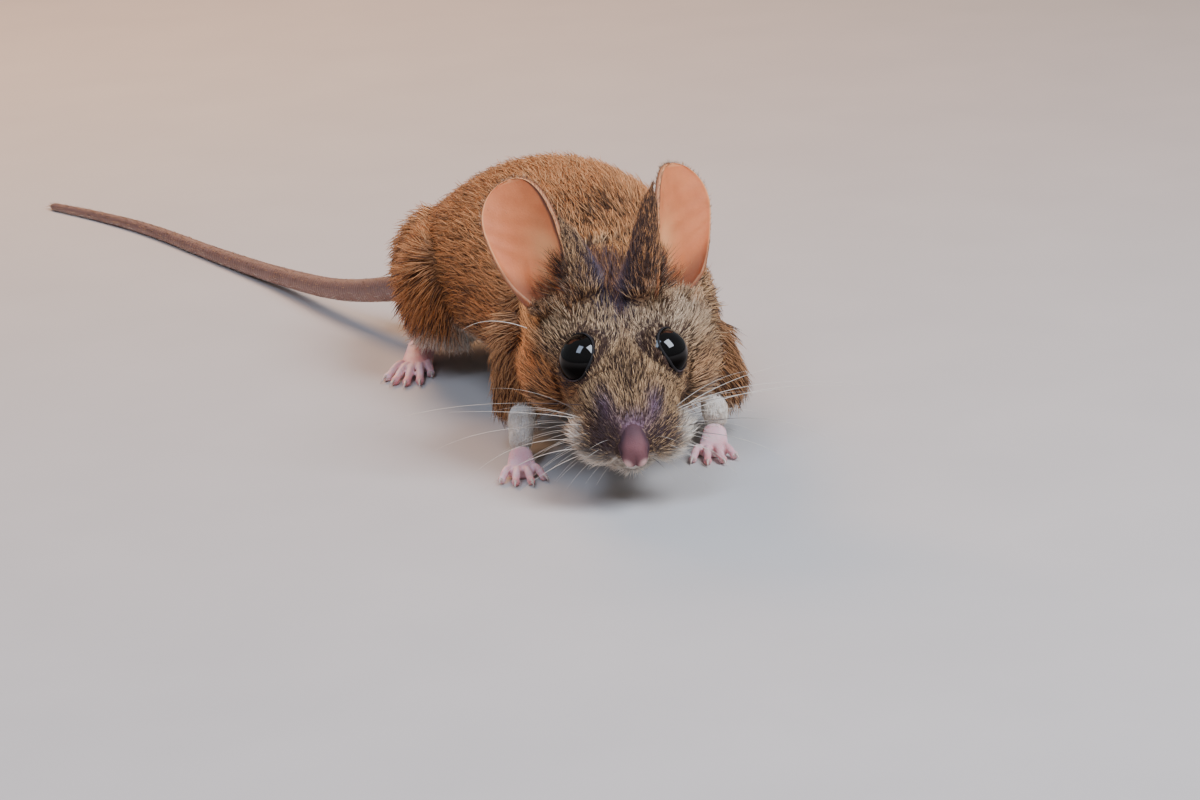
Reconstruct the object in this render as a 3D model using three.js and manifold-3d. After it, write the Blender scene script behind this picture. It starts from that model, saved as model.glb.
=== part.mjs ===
// A life-size field mouse (wood mouse, Apodemus sylvaticus) standing low on all four feet, its nose near
// the ground, its back arched behind it and its tail trailing away to its right.
// Millimetres, +Z up, the nose towards -Y, the floor at Z = 0. The outline is that of the coat.
// Every flesh part is a loft: rings of a squared ellipse carried along a smooth path. Neighbours are cut
// back by a thin gap, so that the animal comes apart where a person would name its parts.
import * as THREE from "three";
import { mergeVertices } from "three/addons/utils/BufferGeometryUtils.js";
import Module from "manifold-3d";

const wasm = await Module();
wasm.setup();

// ---------------------------------------------------------------- driving dimensions

const GAP = 0.3; // between neighbouring parts
const SPECK = 0.03; // edges shorter than this are closed up after cutting
const CENTRE = [-34.2, 70.34]; // middle of the footprint, in the working frame whose origin is under the eyes

// A station of a loft: a point of its path, and the ring's half width, height above and depth below it.
const station = (at, wide, above = wide, below = above) => ({ at, wide, above, below });

// The head's own frame: x to the mouse's left, y back from the tip of the nose, z up.
const HEAD = {
  nose: [0.7, -9.8, 6.9], // the tip, in the working frame
  yaw: 3.7, // degrees to the mouse's left
  pitch: 25, // degrees nose-down
};
const SKULL = [
  station([0, 0.2, -0.8], 2.3, 2.1),
  station([0, 3.9, -0.4], 4.2, 3.6, 3.2),
  station([0, 7.9, -0.1], 5.7, 5.0),
  station([0, 12.4, 0.4], 7.2, 6.0, 6.2),
  station([0, 17.4, 0.3], 9.9, 6.9, 7.6),
  station([0, 22.2, -0.4], 10.7, 7.7, 8.2),
  station([0, 26.8, -1.9], 10.2, 7.7),
  station([0, 30.6, -4.2], 8.8, 6.4),
];
const JAW = [
  station([0, 2.6, -4.3], 1.7, 1.2, 1.0),
  station([0, 6.0, -4.7], 3.4, 1.8, 1.6),
  station([0, 11.0, -5.6], 4.9, 2.2, 2.0),
  station([0, 16.0, -6.4], 5.4, 2.2, 2.2),
];
const WHISKER_PAD = { at: [2.85, 4.6, -0.6], size: [3.35, 3.9, 2.8] };
const CHEEK = { at: [6.5, 18.4, -2.6], size: [4.7, 6.3, 4.5] };
const NOSE = { at: [0, 1.34, 0.46], size: [1.78, 2.38, 1.42], tilt: 41 }; // tilted back along the bridge
const EYE = { at: [4.3, 12.5, 3.6], size: [2.93, 2.93, 2.93] };

// The ears are thin bent sheets. Each half has its width at the base and at its widest. The half next to
// the crown starts lower and has a furred cone behind its edge. The right ear opens forwards and the left one
// more outwards.
const EAR = {
  length: 14.0,
  away: [4.5, 4.7],
  crown: [2.3, 4.8],
  widest: 0.52, // share of the length
  roundness: 2.2, // of the top: 2 is an ellipse
  drop: 2.8, // how far the foot reaches down next to the crown, and up away from it
  lift: 4.2,
  thick: 0.55,
  bend: [3.4, 8.2], // radius of the sheet's bend at the base and at the tip
  tipBack: 1.8,
};
// the cone from its foot to its top: its radius, and how far its middle line lies behind the ear's edge
const EAR_ROOT = {
  radius: [1.7, 2.05, 2.05, 1.5, 0.6],
  back: [2.6, 2.0, 1.4, 0.85, 0.25],
  outwards: 0.25, // against the radius
  start: -0.1, // share of the ear's length
};
const EARS = [
  {
    name: "right", side: -1, base: [-7.2, 20.4, 6.2], along: [-0.32, 0.46, 0.85], open: [-0.34, -0.95, 0.3],
    rootTop: 0.7,
  },
  {
    name: "left", side: 1, base: [5.6, 20.6, 6.2], along: [0.2, 0.46, 0.86], open: [0.74, -0.7, 0.3],
    rootTop: 0.9,
  },
];

const TRUNK = [
  station([1.0, 9.0, 14.6], 8.6, 8.2, 7.0),
  station([0.6, 16.0, 12.6], 10.8, 11.6, 9.0),
  station([-1.0, 25.0, 12.8], 12.6, 12.8, 9.8),
  station([-3.8, 35.0, 14.0], 13.2, 14.0, 10.8),
  station([-8.0, 45.0, 14.0], 12.8, 14.0, 10.4),
  station([-13.2, 54.5, 12.4], 11.6, 11.6, 8.8),
  station([-18.4, 62.5, 10.4], 8.6, 8.0, 6.4),
  station([-23.2, 69.0, 8.2], 4.2, 4.0, 3.2),
];
const TRUNK_CUTS = [0.16, 0.42, 0.7]; // shares of the path where neck, chest, loin and rump meet

// The tail leaves the rump, comes down to the floor and lies on it, tapering to its tip.
const TAIL = [
  station([-19.5, 63.0, 9.0], 2.0),
  station([-27.5, 67.4, 7.0], 1.7),
  station([-36.0, 80.4, 3.8], 1.46),
  station([-45.2, 97.4, 1.75], 1.26),
  station([-55.0, 113.8, 0.98], 1.08),
  station([-65.2, 130.2, 0.82], 0.9),
  station([-73.6, 141.2, 0.67], 0.75),
  station([-82.6, 151.0, 0.53], 0.6),
];
const TAIL_CUTS = [0.3, 0.53, 0.77];

// Limbs: side is -1 for the mouse's right and +1 for its left. Points are joints, toes is where the middle
// toe ends on the floor, and heading turns the foot from straight ahead to the mouse's left, in degrees.
const FORELEGS = [
  {
    name: "right", side: -1, heading: 4, toes: [-11.9, 2.6], chest: [-7.9, 17.6, 16.4],
    shoulder: [-9.2, 18.5, 13.0], elbow: [-11.6, 18.0, 6.8], wrist: [-12.2, 9.0, 2.3],
  },
  {
    name: "left", side: 1, heading: 6, toes: [10.0, 6.6], chest: [7.0, 18.1, 15.8],
    shoulder: [7.0, 19.0, 12.4], elbow: [10.6, 19.0, 6.8], wrist: [10.3, 13.0, 2.6],
  },
];
const HAND = { neck: 1.43, sole: [1.9, 1.15], toes: 4, toeLength: 2.9, toeThick: 0.5, spread: 17 };
const HINDLEGS = [
  {
    name: "right", side: -1, heading: -9, toes: [-26.6, 45.6],
    hip: [-19.0, 54.6, 12.2], knee: [-22.8, 44.4, 9.0], ankle: [-24.0, 63.0, 3.4],
    buttock: [-20.4, 58.4, 11.4],
  },
  {
    name: "left", side: 1, heading: 36, toes: [4.6, 54.6],
    hip: [-6.6, 58.4, 12.2], knee: [2.0, 51.2, 9.0], ankle: [-6.8, 68.6, 3.4],
    buttock: [-9.8, 60.6, 11.4],
  },
];
const BUTTOCK = [7.4, 9.4, 8.4]; // sizes of the muscle behind the thigh
const FOOT = { neck: 1.8, sole: [2.1, 1.25], toes: 5, toeLength: 5.2, toeThick: 0.58, spread: 9 };

// A toe from its root to the point of its claw: share of its length, height of its axis, share of its
// thickness
const TOE = [[-0.12, 1.0, 1.15], [0.35, 1.15, 1.05], [0.71, 0.82, 1.0], [1.01, 0.45, 1.05], [1.22, 0.5, 0.5],
  [1.4, 0.24, 0.3]];
const TOE_SHORTENING = 0.2; // of the outermost toes
const TOE_SETBACK = [0.12, 0.32]; // where the middle and the outermost toes start behind the ball of the foot
const INNER_TOE = 0.62; // length of a hind foot's innermost toe, against the others

const FUR = { brown: 0x8a6239, rust: 0x9a5f2c, grey: 0x7d6850, pale: 0xd9cdbb };
const SKIN = { ear: 0xcf9070, pink: 0xdcaaa0, nose: 0x8d5a57, tail: 0x8d6259, eye: 0x0b0a0a };

// ---------------------------------------------------------------- paths

// A smooth value at share t of evenly spaced values: uniform Catmull-Rom, extended straight at the ends.
function through(values, t) {
  const last = values.length - 1;
  const s = Math.min(Math.max(t, 0), 1) * last;
  const i = Math.min(Math.floor(s), last - 1);
  const f = s - i;
  const [p1, p2] = [values[i], values[i + 1]];
  const p0 = i > 0 ? values[i - 1] : 2 * p1 - p2;
  const p3 = i + 2 <= last ? values[i + 2] : 2 * p2 - p1;
  return p1 + 0.5 * f * (p2 - p0 + f * (2 * p0 - 5 * p1 + 4 * p2 - p3 + f * (3 * (p1 - p2) + p3 - p0)));
}

function pathPoint(stations, t) {
  return new THREE.Vector3(...[0, 1, 2].map((k) => through(stations.map((s) => s.at[k]), t)));
}

// The direction of a path at share t, and the side and up that go with it.
function pathFrame(stations, t, upHint = new THREE.Vector3(0, 0, 1)) {
  const step = 0.01;
  const before = pathPoint(stations, Math.max(t - step, 0));
  const ahead = pathPoint(stations, Math.min(t + step, 1)).sub(before).normalize();
  const side = new THREE.Vector3().crossVectors(ahead, upHint).normalize();
  return { ahead, side, up: new THREE.Vector3().crossVectors(side, ahead) };
}

// A point between two joints, optionally moved up.
function between(a, b, share, up = 0) {
  const point = new THREE.Vector3(...a).lerp(new THREE.Vector3(...b), share);
  return [point.x, point.y, point.z + up];
}

// ---------------------------------------------------------------- solids

// A geometry as a solid that can be joined and cut.
function solidOf(geometry) {
  return new wasm.Manifold(
    new wasm.Mesh({
      numProp: 3,
      vertProperties: new Float32Array(geometry.attributes.position.array),
      triVerts: new Uint32Array(geometry.index.array),
    }),
  );
}

function geometryOf(solid) {
  const mesh = solid.getMesh();
  const geometry = new THREE.BufferGeometry();
  geometry.setAttribute("position", new THREE.BufferAttribute(new Float32Array(mesh.vertProperties), 3));
  geometry.setIndex(new THREE.BufferAttribute(new Uint32Array(mesh.triVerts), 1));
  geometry.computeVertexNormals();
  return geometry;
}

// Points and triangles as a solid, turned the right way out.
function facesToSolid(points, faces) {
  const geometry = new THREE.BufferGeometry().setFromPoints(points).setIndex(faces.flat());
  const solid = solidOf(geometry);
  return solid.volume() < 0 ? facesToSolid(points, faces.map(([a, b, c]) => [a, c, b])) : solid;
}

// Rings of points joined into a tube, whose two ends are closed by strips across them.
function closedRings(rings) {
  const n = rings[0].length;
  const faces = [];
  const quad = (a, b, c, d) => faces.push([a, b, c], [a, c, d]);
  for (let i = 0; i + 1 < rings.length; i++)
    for (let j = 0; j < n; j++) {
      const next = (j + 1) % n;
      quad(i * n + j, (i + 1) * n + j, (i + 1) * n + next, i * n + next);
    }
  const end = (rings.length - 1) * n;
  for (let j = 0; j < n / 2 - 1; j++) {
    quad(j, j + 1, n - 2 - j, n - 1 - j);
    quad(end + j, end + n - 1 - j, end + n - 2 - j, end + j + 1);
  }
  return facesToSolid(rings.flat(), faces);
}

// A loft's shrinking towards its rounded ends: a quarter ellipse over the first and the last share of its
// path.
function rounding(t, [first, last]) {
  const a = Math.max(0, 1 - t / first);
  const b = Math.max(0, 1 - (1 - t) / last);
  return Math.sqrt(1 - a * a) * Math.sqrt(1 - b * b);
}

// A loft through stations. squareness 2 makes its rings ellipses, and more makes them boxier.
function loft(stations, { around = 12, along = 8, ends = [0.1, 0.1], squareness = 2, up } = {}) {
  const squared = (v) => Math.sign(v) * Math.abs(v) ** (2 / squareness);
  const rings = [];
  for (let i = 0; i <= along; i++) {
    // the rings are closer together at the rounded ends, and the first and last keep a little size
    const t = 0.5 - 0.5 * Math.cos(Math.PI * (0.02 + (0.96 * i) / along));
    const size = (key) => through(stations.map((s) => s[key]), t) * rounding(t, ends);
    const frame = pathFrame(stations, t, up);
    const ring = [];
    for (let j = 0; j < around; j++) {
      const angle = (2 * Math.PI * j) / around;
      const high = squared(Math.sin(angle));
      ring.push(
        pathPoint(stations, t)
          .addScaledVector(frame.side, squared(Math.cos(angle)) * size("wide"))
          .addScaledVector(frame.up, high * size(high > 0 ? "above" : "below")),
      );
    }
    rings.push(ring);
  }
  return closedRings(rings);
}

// An ellipsoid, larger by extra all round.
function ball({ at, size }, around, high, extra = 0) {
  const geometry = new THREE.SphereGeometry(1, around, high);
  geometry.scale(...size.map((s) => s + extra));
  geometry.translate(...at);
  geometry.deleteAttribute("normal");
  geometry.deleteAttribute("uv");
  return solidOf(mergeVertices(geometry));
}

// The same shape on the other side of the head, for -1, or on this side, for 1.
function onSide(shape, side) {
  const [x, y, z] = shape.at;
  return { ...shape, at: [side * x, y, z] };
}

function joined(solids) {
  return solids.reduce((a, b) => a.add(b));
}

function largest(solid) {
  return solid.decompose().reduce((best, piece) => (piece.volume() > best.volume() ? piece : best));
}

function onFloor(solid) {
  return solid.trimByPlane([0, 0, 1], 0);
}

// A solid with every point moved outwards along its normal: what a neighbour is cut with to leave a gap.
function grown(solid) {
  const geometry = geometryOf(solid);
  const { position, normal } = geometry.attributes;
  for (let i = 0; i < position.count; i++) {
    const point = new THREE.Vector3().fromBufferAttribute(position, i);
    const outwards = new THREE.Vector3().fromBufferAttribute(normal, i);
    position.setXYZ(i, ...point.addScaledVector(outwards, GAP));
  }
  return solidOf(geometry);
}

// Cuts between facets leave specks of edges: this draws the two ends of each one together.
function withoutSpecks(solid) {
  const geometry = geometryOf(solid);
  const { position } = geometry.attributes;
  const points = Array.from({ length: position.count }, (_, i) =>
    new THREE.Vector3().fromBufferAttribute(position, i));
  const index = Array.from(geometry.index.array);
  const kept = points.map((_, i) => i);
  const find = (i) => (kept[i] === i ? i : find(kept[i]));
  for (let i = 0; i < index.length; i++) {
    const a = find(index[i]);
    const b = find(index[i % 3 === 2 ? i - 2 : i + 1]);
    if (a !== b && points[a].distanceTo(points[b]) < SPECK) kept[b] = a;
  }
  const faces = [];
  for (let i = 0; i < index.length; i += 3) {
    const face = [0, 1, 2].map((k) => find(index[i + k]));
    if (new Set(face).size === 3) faces.push(face);
  }
  return facesToSolid(points, faces);
}

// The stretch of a long solid between two shares of its path, with half a gap taken off at each cut.
function stretch(solid, stations, from, to) {
  let piece = solid;
  for (const [share, way] of [[from, 1], [to, -1]]) {
    if (share <= 0 || share >= 1) continue;
    const normal = pathFrame(stations, share).ahead.multiplyScalar(way);
    piece = piece.trimByPlane(normal.toArray(), normal.dot(pathPoint(stations, share)) + GAP / 2);
  }
  return piece;
}

// ---------------------------------------------------------------- head

function headForm() {
  const swellings = [-1, 1].flatMap((side) => [
    ball(onSide(WHISKER_PAD, side), 12, 8),
    ball(onSide(CHEEK, side), 10, 6),
  ]);
  return joined([loft(SKULL, { around: 20, along: 13, ends: [0.12, 0.14], squareness: 2.3 }), ...swellings]);
}

function jawForm() {
  return loft(JAW, { ends: [0.25, 0.3], squareness: 2.2 });
}

function noseForm(extra = 0) {
  return ball({ at: [0, 0, 0], size: NOSE.size }, 10, 7, extra).rotate([NOSE.tilt, 0, 0]).translate(NOSE.at);
}

function eyeForm(side, extra = 0) {
  return ball(onSide(EYE, side), 14, 8, extra);
}

// The half width of a pinna at share u of its height, given those at its base and at its widest.
function earHalf([atBase, most], u) {
  if (u < EAR.widest) return atBase + (most - atBase) * Math.sin((Math.PI / 2) * (u / EAR.widest));
  const above = (u - EAR.widest) / (1 - EAR.widest);
  return most * Math.max(0.002, 1 - above ** EAR.roundness) ** (1 / EAR.roundness);
}

// The way an ear rises, the way it opens and the way outwards across it.
function earAxes({ side, along, open }) {
  const rise = new THREE.Vector3(...along).normalize();
  const front = new THREE.Vector3(...open).projectOnPlane(rise).normalize();
  return { rise, front, across: new THREE.Vector3().crossVectors(front, rise).multiplyScalar(side) };
}

// A point of a pinna: a sheet with a rounded outline, bent about its long axis, tighter at the base than at
// the tip. v runs from -1 to 1 at the crown's edge; face is -1 on the inside of the bend and 1 outside.
function earPoint(ear, u, v, face) {
  const { rise, front, across } = earAxes(ear);
  const radius = THREE.MathUtils.lerp(...EAR.bend, Math.max(u, 0));
  const bend = (v * earHalf(v < 0 ? EAR.away : EAR.crown, u)) / radius;
  const reach = radius + (face * EAR.thick) / 2;
  return new THREE.Vector3(...ear.base)
    .addScaledVector(rise, EAR.length * u + (1 - u) * (v > 0 ? -EAR.drop * v : EAR.lift * v * v))
    .addScaledVector(front, radius - reach * Math.cos(bend) - EAR.tipBack * u * u)
    .addScaledVector(across, reach * Math.sin(bend));
}

// Each ring of a pinna runs across the inside of the bend and back over the outside.
function pinnaForm(ear) {
  const rows = 9;
  const columns = 6;
  const rings = Array.from({ length: rows + 1 }, (_, i) => {
    const u = Math.sin((Math.PI / 2) * (i / rows));
    const shares = Array.from({ length: columns + 1 }, (_, j) => (2 * j) / columns - 1);
    const face = (side) => shares.map((v) => earPoint(ear, u, v, side));
    return [...face(-1), ...face(1).reverse()];
  });
  return closedRings(rings);
}

function earForm(ear) {
  const { front, across } = earAxes(ear);
  const last = EAR_ROOT.radius.length - 1;
  const cone = EAR_ROOT.radius.map((radius, i) => {
    const u = THREE.MathUtils.lerp(EAR_ROOT.start, ear.rootTop, i / last);
    const point = earPoint(ear, u, 1, 1)
      .addScaledVector(across, EAR_ROOT.outwards * radius)
      .addScaledVector(front, -EAR_ROOT.back[i]);
    return station(point.toArray(), radius);
  });
  const root = loft(cone, { around: 8, along: 6, ends: [0.1, 0.2], up: new THREE.Vector3(0, 1, 0) });
  return joined([pinnaForm(ear), root]);
}

// ---------------------------------------------------------------- trunk and limbs

function trunkForm() {
  return loft(TRUNK, { around: 20, along: 16, ends: [0.06, 0.1], squareness: 2.25 });
}

function tailForm() {
  return loft(TAIL, { around: 8, along: 26, ends: [0.01, 0.02] });
}

function upperArmForm({ chest, shoulder, elbow }) {
  return loft([
    station(chest, 3.6, 4.6),
    station(shoulder, 5.4, 6.0),
    station(elbow, 3.9, 4.5),
    station(between(elbow, elbow, 0, -2.6), 2.4, 2.8),
  ], { ends: [0.3, 0.28], squareness: 2.1, up: new THREE.Vector3(0, -1, 0.2) });
}

function forearmForm({ elbow, wrist }) {
  return loft([
    station(between(elbow, wrist, -0.1), 2.4),
    station(between(elbow, wrist, 0.5), 1.9),
    station(between(elbow, wrist, 1, 0.3), 1.45),
  ], { around: 10, along: 5, ends: [0.25, 0.12] });
}

function thighForm({ hip, knee, buttock }) {
  const thigh = loft([
    station(between(hip, knee, -0.35), 4.6, 6.4, 5.4),
    station(hip, 7.4, 8.6, 7.4),
    station(between(hip, knee, 0.55), 6.6, 8.0, 7.2),
    station(knee, 5.8, 6.6, 6.2),
  ], { around: 14, along: 9, ends: [0.3, 0.3], squareness: 2.1 });
  return joined([thigh, ball({ at: buttock, size: BUTTOCK }, 8, 5)]);
}

function shankForm({ knee, ankle }) {
  return loft([
    station(between(knee, ankle, 0.28, -0.6), 3.3),
    station(between(knee, ankle, 0.62, -0.4), 3.0),
    station(between(knee, ankle, 1, 0.3), 2.0),
  ], { around: 8, along: 5, ends: [0.2, 0.15] });
}

// The pad of a hand or foot, from the ball of the foot to the wrist or ankle.
function soleForm(toeRoots, joint, { neck, sole: [wide, thick] }) {
  const front = [toeRoots.x, toeRoots.y, 0];
  const flat = ([x, y], z) => [x, y, z];
  return loft([
    station(flat(between(front, joint, -0.06), 0.75), 0.95 * wide, 0.62 * thick, 0.9),
    station(flat(between(front, joint, 0.25), 0.85), wide, 0.85 * thick, 1.0),
    station(flat(between(front, joint, 0.62), joint[2] / 2 + 0.45), 0.86 * wide, 1.05 * thick, 1.1 * thick),
    station(joint, neck),
  ], { around: 8, along: 6, ends: [0.22, 0.12], squareness: 2.3 });
}

// A hand or foot: its pad and a fan of toes, each running out into its claw.
function footForm({ toes, heading, side }, joint, size) {
  const turn = THREE.MathUtils.degToRad(heading);
  const direction = (angle) => new THREE.Vector3(Math.sin(angle), -Math.cos(angle), 0);
  const across = direction(turn + Math.PI / 2);
  const toeRoots = new THREE.Vector3(...toes, 0).addScaledVector(direction(turn), -size.toeLength);
  const outermost = (size.toes - 1) / 2;
  const digits = Array.from({ length: size.toes }, (_, k) => {
    const rank = k - outermost;
    const share = rank / outermost;
    const innermost = size.toes === 5 && rank * side === -outermost;
    const length = size.toeLength * (1 - TOE_SHORTENING * share * share) * (innermost ? INNER_TOE : 1);
    const way = direction(turn + THREE.MathUtils.degToRad(size.spread * rank));
    const setback = size.toeLength * THREE.MathUtils.lerp(...TOE_SETBACK, share * share);
    const start = toeRoots.clone()
      .addScaledVector(across, share * (size.sole[0] - 0.7 * size.toeThick))
      .addScaledVector(direction(turn), -setback);
    const knuckles = TOE.map(([out, height, thickness]) => {
      const { x, y } = start.clone().addScaledVector(way, out * length);
      return station([x, y, height], thickness * size.toeThick);
    });
    return loft(knuckles, { around: 6, along: 6, ends: [0.12, 0.06] });
  });
  return onFloor(joined([soleForm(toeRoots, joint, size), ...digits]));
}

// ---------------------------------------------------------------- assembly

const mouse = new THREE.Group();
mouse.position.set(-CENTRE[0], -CENTRE[1], 0);

const headFrame = new THREE.Group();
headFrame.position.set(...HEAD.nose);
headFrame.rotation.set(THREE.MathUtils.degToRad(HEAD.pitch), 0, THREE.MathUtils.degToRad(HEAD.yaw), "ZXY");
headFrame.updateMatrix();
mouse.add(headFrame);

// What the neighbours of the larger forms are cut with.
const headForms = { skull: headForm(), jaw: jawForm() };
const skullSpace = grown(headForms.skull);
const headSpace = grown(joined(Object.values(headForms))).transform(headFrame.matrix.elements);
const trunkSpace = grown(trunkForm());

function addPart(parent, name, solid, color, roughness = 0.9) {
  const material = new THREE.MeshStandardMaterial({ color, roughness, metalness: 0 });
  const mesh = new THREE.Mesh(geometryOf(withoutSpecks(largest(solid))), material);
  mesh.name = name;
  parent.add(mesh);
}

function addHead() {
  const sockets = joined([eyeForm(-1, GAP), eyeForm(1, GAP), noseForm(GAP)]);
  addPart(headFrame, "head", headForms.skull.subtract(sockets), FUR.grey);
  addPart(headFrame, "jaw", headForms.jaw.subtract(skullSpace).subtract(sockets), FUR.pale);
  addPart(headFrame, "nose", noseForm(), SKIN.nose, 0.5);
  addPart(headFrame, "eye_right", eyeForm(-1), SKIN.eye, 0.08);
  addPart(headFrame, "eye_left", eyeForm(1), SKIN.eye, 0.08);
  for (const ear of EARS)
    addPart(headFrame, `ear_${ear.name}`, earForm(ear).subtract(skullSpace), SKIN.ear, 0.7);
}

function addTrunk() {
  const [toNeck, toChest, toLoin] = TRUNK_CUTS;
  const trunk = trunkForm().subtract(headSpace);
  addPart(mouse, "neck", stretch(trunk, TRUNK, 0, toNeck), FUR.grey);
  addPart(mouse, "chest", stretch(trunk, TRUNK, toNeck, toChest), FUR.brown);
  addPart(mouse, "loin", stretch(trunk, TRUNK, toChest, toLoin), FUR.brown);
  addPart(mouse, "rump", stretch(trunk, TRUNK, toLoin, 1), FUR.rust);
}

function addTail() {
  const tail = onFloor(tailForm()).subtract(trunkSpace);
  const cuts = [0, ...TAIL_CUTS, 1];
  ["tail_root", "tail_near", "tail_far", "tail_tip"].forEach((name, i) =>
    addPart(mouse, name, stretch(tail, TAIL, cuts[i], cuts[i + 1]), SKIN.tail, 0.65));
}

function addForeleg(leg) {
  const [upperArm, forearm] = [upperArmForm(leg), forearmForm(leg)];
  const armSpace = grown(upperArm);
  const hand = footForm(leg, leg.wrist, HAND).subtract(grown(forearm)).subtract(armSpace);
  addPart(mouse, `upper_arm_${leg.name}`, upperArm.subtract(trunkSpace).subtract(headSpace), FUR.brown);
  addPart(mouse, `forearm_${leg.name}`, forearm.subtract(trunkSpace).subtract(armSpace), FUR.pale);
  addPart(mouse, `hand_${leg.name}`, hand, SKIN.pink, 0.6);
}

function addHindleg(leg) {
  const [thigh, shank] = [thighForm(leg), shankForm(leg)];
  const thighSpace = grown(thigh);
  const foot = footForm(leg, leg.ankle, FOOT).subtract(grown(shank)).subtract(thighSpace);
  addPart(mouse, `thigh_${leg.name}`, thigh.subtract(trunkSpace), FUR.rust);
  addPart(mouse, `shank_${leg.name}`, shank.subtract(trunkSpace).subtract(thighSpace), FUR.rust);
  addPart(mouse, `foot_${leg.name}`, foot.subtract(trunkSpace), SKIN.pink, 0.6);
}

addHead();
addTrunk();
addTail();
FORELEGS.forEach(addForeleg);
HINDLEGS.forEach(addHindleg);

export default mouse;
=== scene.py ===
"""A life-size field mouse: one skin under a coat of solid tufts, with its eyes, lids, claws and whiskers.

Shapes are worked out with numpy in millimetres, in a frame whose origin lies on the floor under the eyes,
+Y towards the tail and +Z up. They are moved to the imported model's frame, in metres, when a mesh is made.
"""
from __future__ import annotations

import logging
import math
from dataclasses import dataclass, field
from enum import Enum

import bpy
import numpy as np
from mathutils import Matrix, Vector


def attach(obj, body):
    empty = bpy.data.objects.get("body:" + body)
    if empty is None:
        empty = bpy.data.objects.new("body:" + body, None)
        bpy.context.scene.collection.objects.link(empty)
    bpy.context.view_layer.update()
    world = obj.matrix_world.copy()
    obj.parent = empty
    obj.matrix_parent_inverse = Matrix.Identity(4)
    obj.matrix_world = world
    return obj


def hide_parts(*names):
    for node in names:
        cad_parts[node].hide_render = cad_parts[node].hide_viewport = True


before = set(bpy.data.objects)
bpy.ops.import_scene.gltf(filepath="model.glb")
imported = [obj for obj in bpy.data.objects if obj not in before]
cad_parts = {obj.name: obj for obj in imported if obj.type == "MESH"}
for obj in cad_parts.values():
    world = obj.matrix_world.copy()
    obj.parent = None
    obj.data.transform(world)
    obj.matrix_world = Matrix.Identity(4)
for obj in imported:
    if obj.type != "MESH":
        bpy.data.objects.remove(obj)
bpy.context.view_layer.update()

LOG = logging.getLogger("field_mouse")
MM = 0.001
BODY = "root"
CENTRE = np.array([-34.2, 70.34, 0.0])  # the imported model's origin, in the working frame
Array = np.ndarray
Point = tuple[float, float, float]
Pair = tuple[float, float]
Colour = tuple[float, float, float]


class Side(Enum):
    """The mouse's own right and left; the value is the sign of x in the head's frame."""

    RIGHT = -1
    LEFT = 1

    @property
    def word(self) -> str:
        """The side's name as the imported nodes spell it."""
        return self.name.lower()


class Flesh(Enum):
    """What a stretch of skin is; the value is its material's index on the skin."""

    FURRED = 0
    EAR = 1
    NOSE = 2
    PAW = 3
    TAIL = 4
    LID = 5


# ---- arithmetic on arrays


def unit(vectors: Array) -> Array:
    """Vectors of length one, along the last axis."""
    vectors = np.asarray(vectors, float)
    return vectors / np.maximum(np.linalg.norm(vectors, axis=-1, keepdims=True), 1e-9)


def ease(value: Array, start: float, end: float) -> Array:
    """A smooth step from 0 at start to 1 at end: 3x^2 - 2x^3 on the clipped share x."""
    share = np.clip((value - start) / (end - start), 0, 1)
    return share * share * (3 - 2 * share)


def blob(points: Array, at: Point, size: Point) -> Array:
    """A soft spot: exp(-q^2), where q is the distance from its middle in units of its sizes."""
    return np.exp(-(((points - np.array(at)) / np.array(size)) ** 2).sum(-1))


def through(values: Array, t: Array) -> Array:
    """Smooth values at shares t of evenly spaced ones: uniform Catmull-Rom, straight past the ends."""
    values = np.asarray(values, float)
    last = len(values) - 1
    padded = np.concatenate([[2 * values[0] - values[1]], values, [2 * values[-1] - values[-2]]])
    s = np.clip(t, 0, 1) * last
    i = np.minimum(s.astype(int), last - 1)
    f = (s - i).reshape(-1, *[1] * (values.ndim - 1))
    p0, p1, p2, p3 = (padded[i + k] for k in range(4))
    return p1 + 0.5 * f * (p2 - p0 + f * (2 * p0 - 5 * p1 + 4 * p2 - p3 + f * (3 * (p1 - p2) + p3 - p0)))


def ripple(points: Array, wave: float, seed: int) -> Array:
    """A smooth random field of three values at each point: six sine waves each, of about that wavelength."""
    draws = np.random.default_rng(seed)
    ways = unit(draws.normal(size=(3, 6, 3))) * (2 * math.pi / wave) * draws.uniform(0.6, 1.7, (3, 6, 1))
    phases = draws.uniform(0, 2 * math.pi, (3, 6))
    return np.stack([np.sin(points @ w.T + p).mean(-1) for w, p in zip(ways, phases)], -1) * 1.7


def ranked(values: Array) -> Array:
    """The rank of each value as a share from 0 to 1."""
    return np.argsort(np.argsort(values)) / len(values)


def streaks(points: Array, lie: Array, size: float, reach: float) -> Array:
    """Numbers from 0 to 1 that stay alike along a lie and change across it: a speckle averaged along it.

    Args:
        points: where the numbers are wanted.
        lie: the direction there.
        size: of a cell of the speckle.
        reach: how far along the lie it is averaged, to both sides.

    Returns:
        The numbers, spread evenly.
    """
    total = np.zeros(len(points))
    for step in np.linspace(-reach, reach, 9):
        cell = np.floor((points + lie * step) / size)
        total += np.modf(np.abs(np.sin(cell @ (12.9898, 78.233, 37.719)) * 43758.5453))[0]
    return ranked(total)


# ---- surfaces


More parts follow.
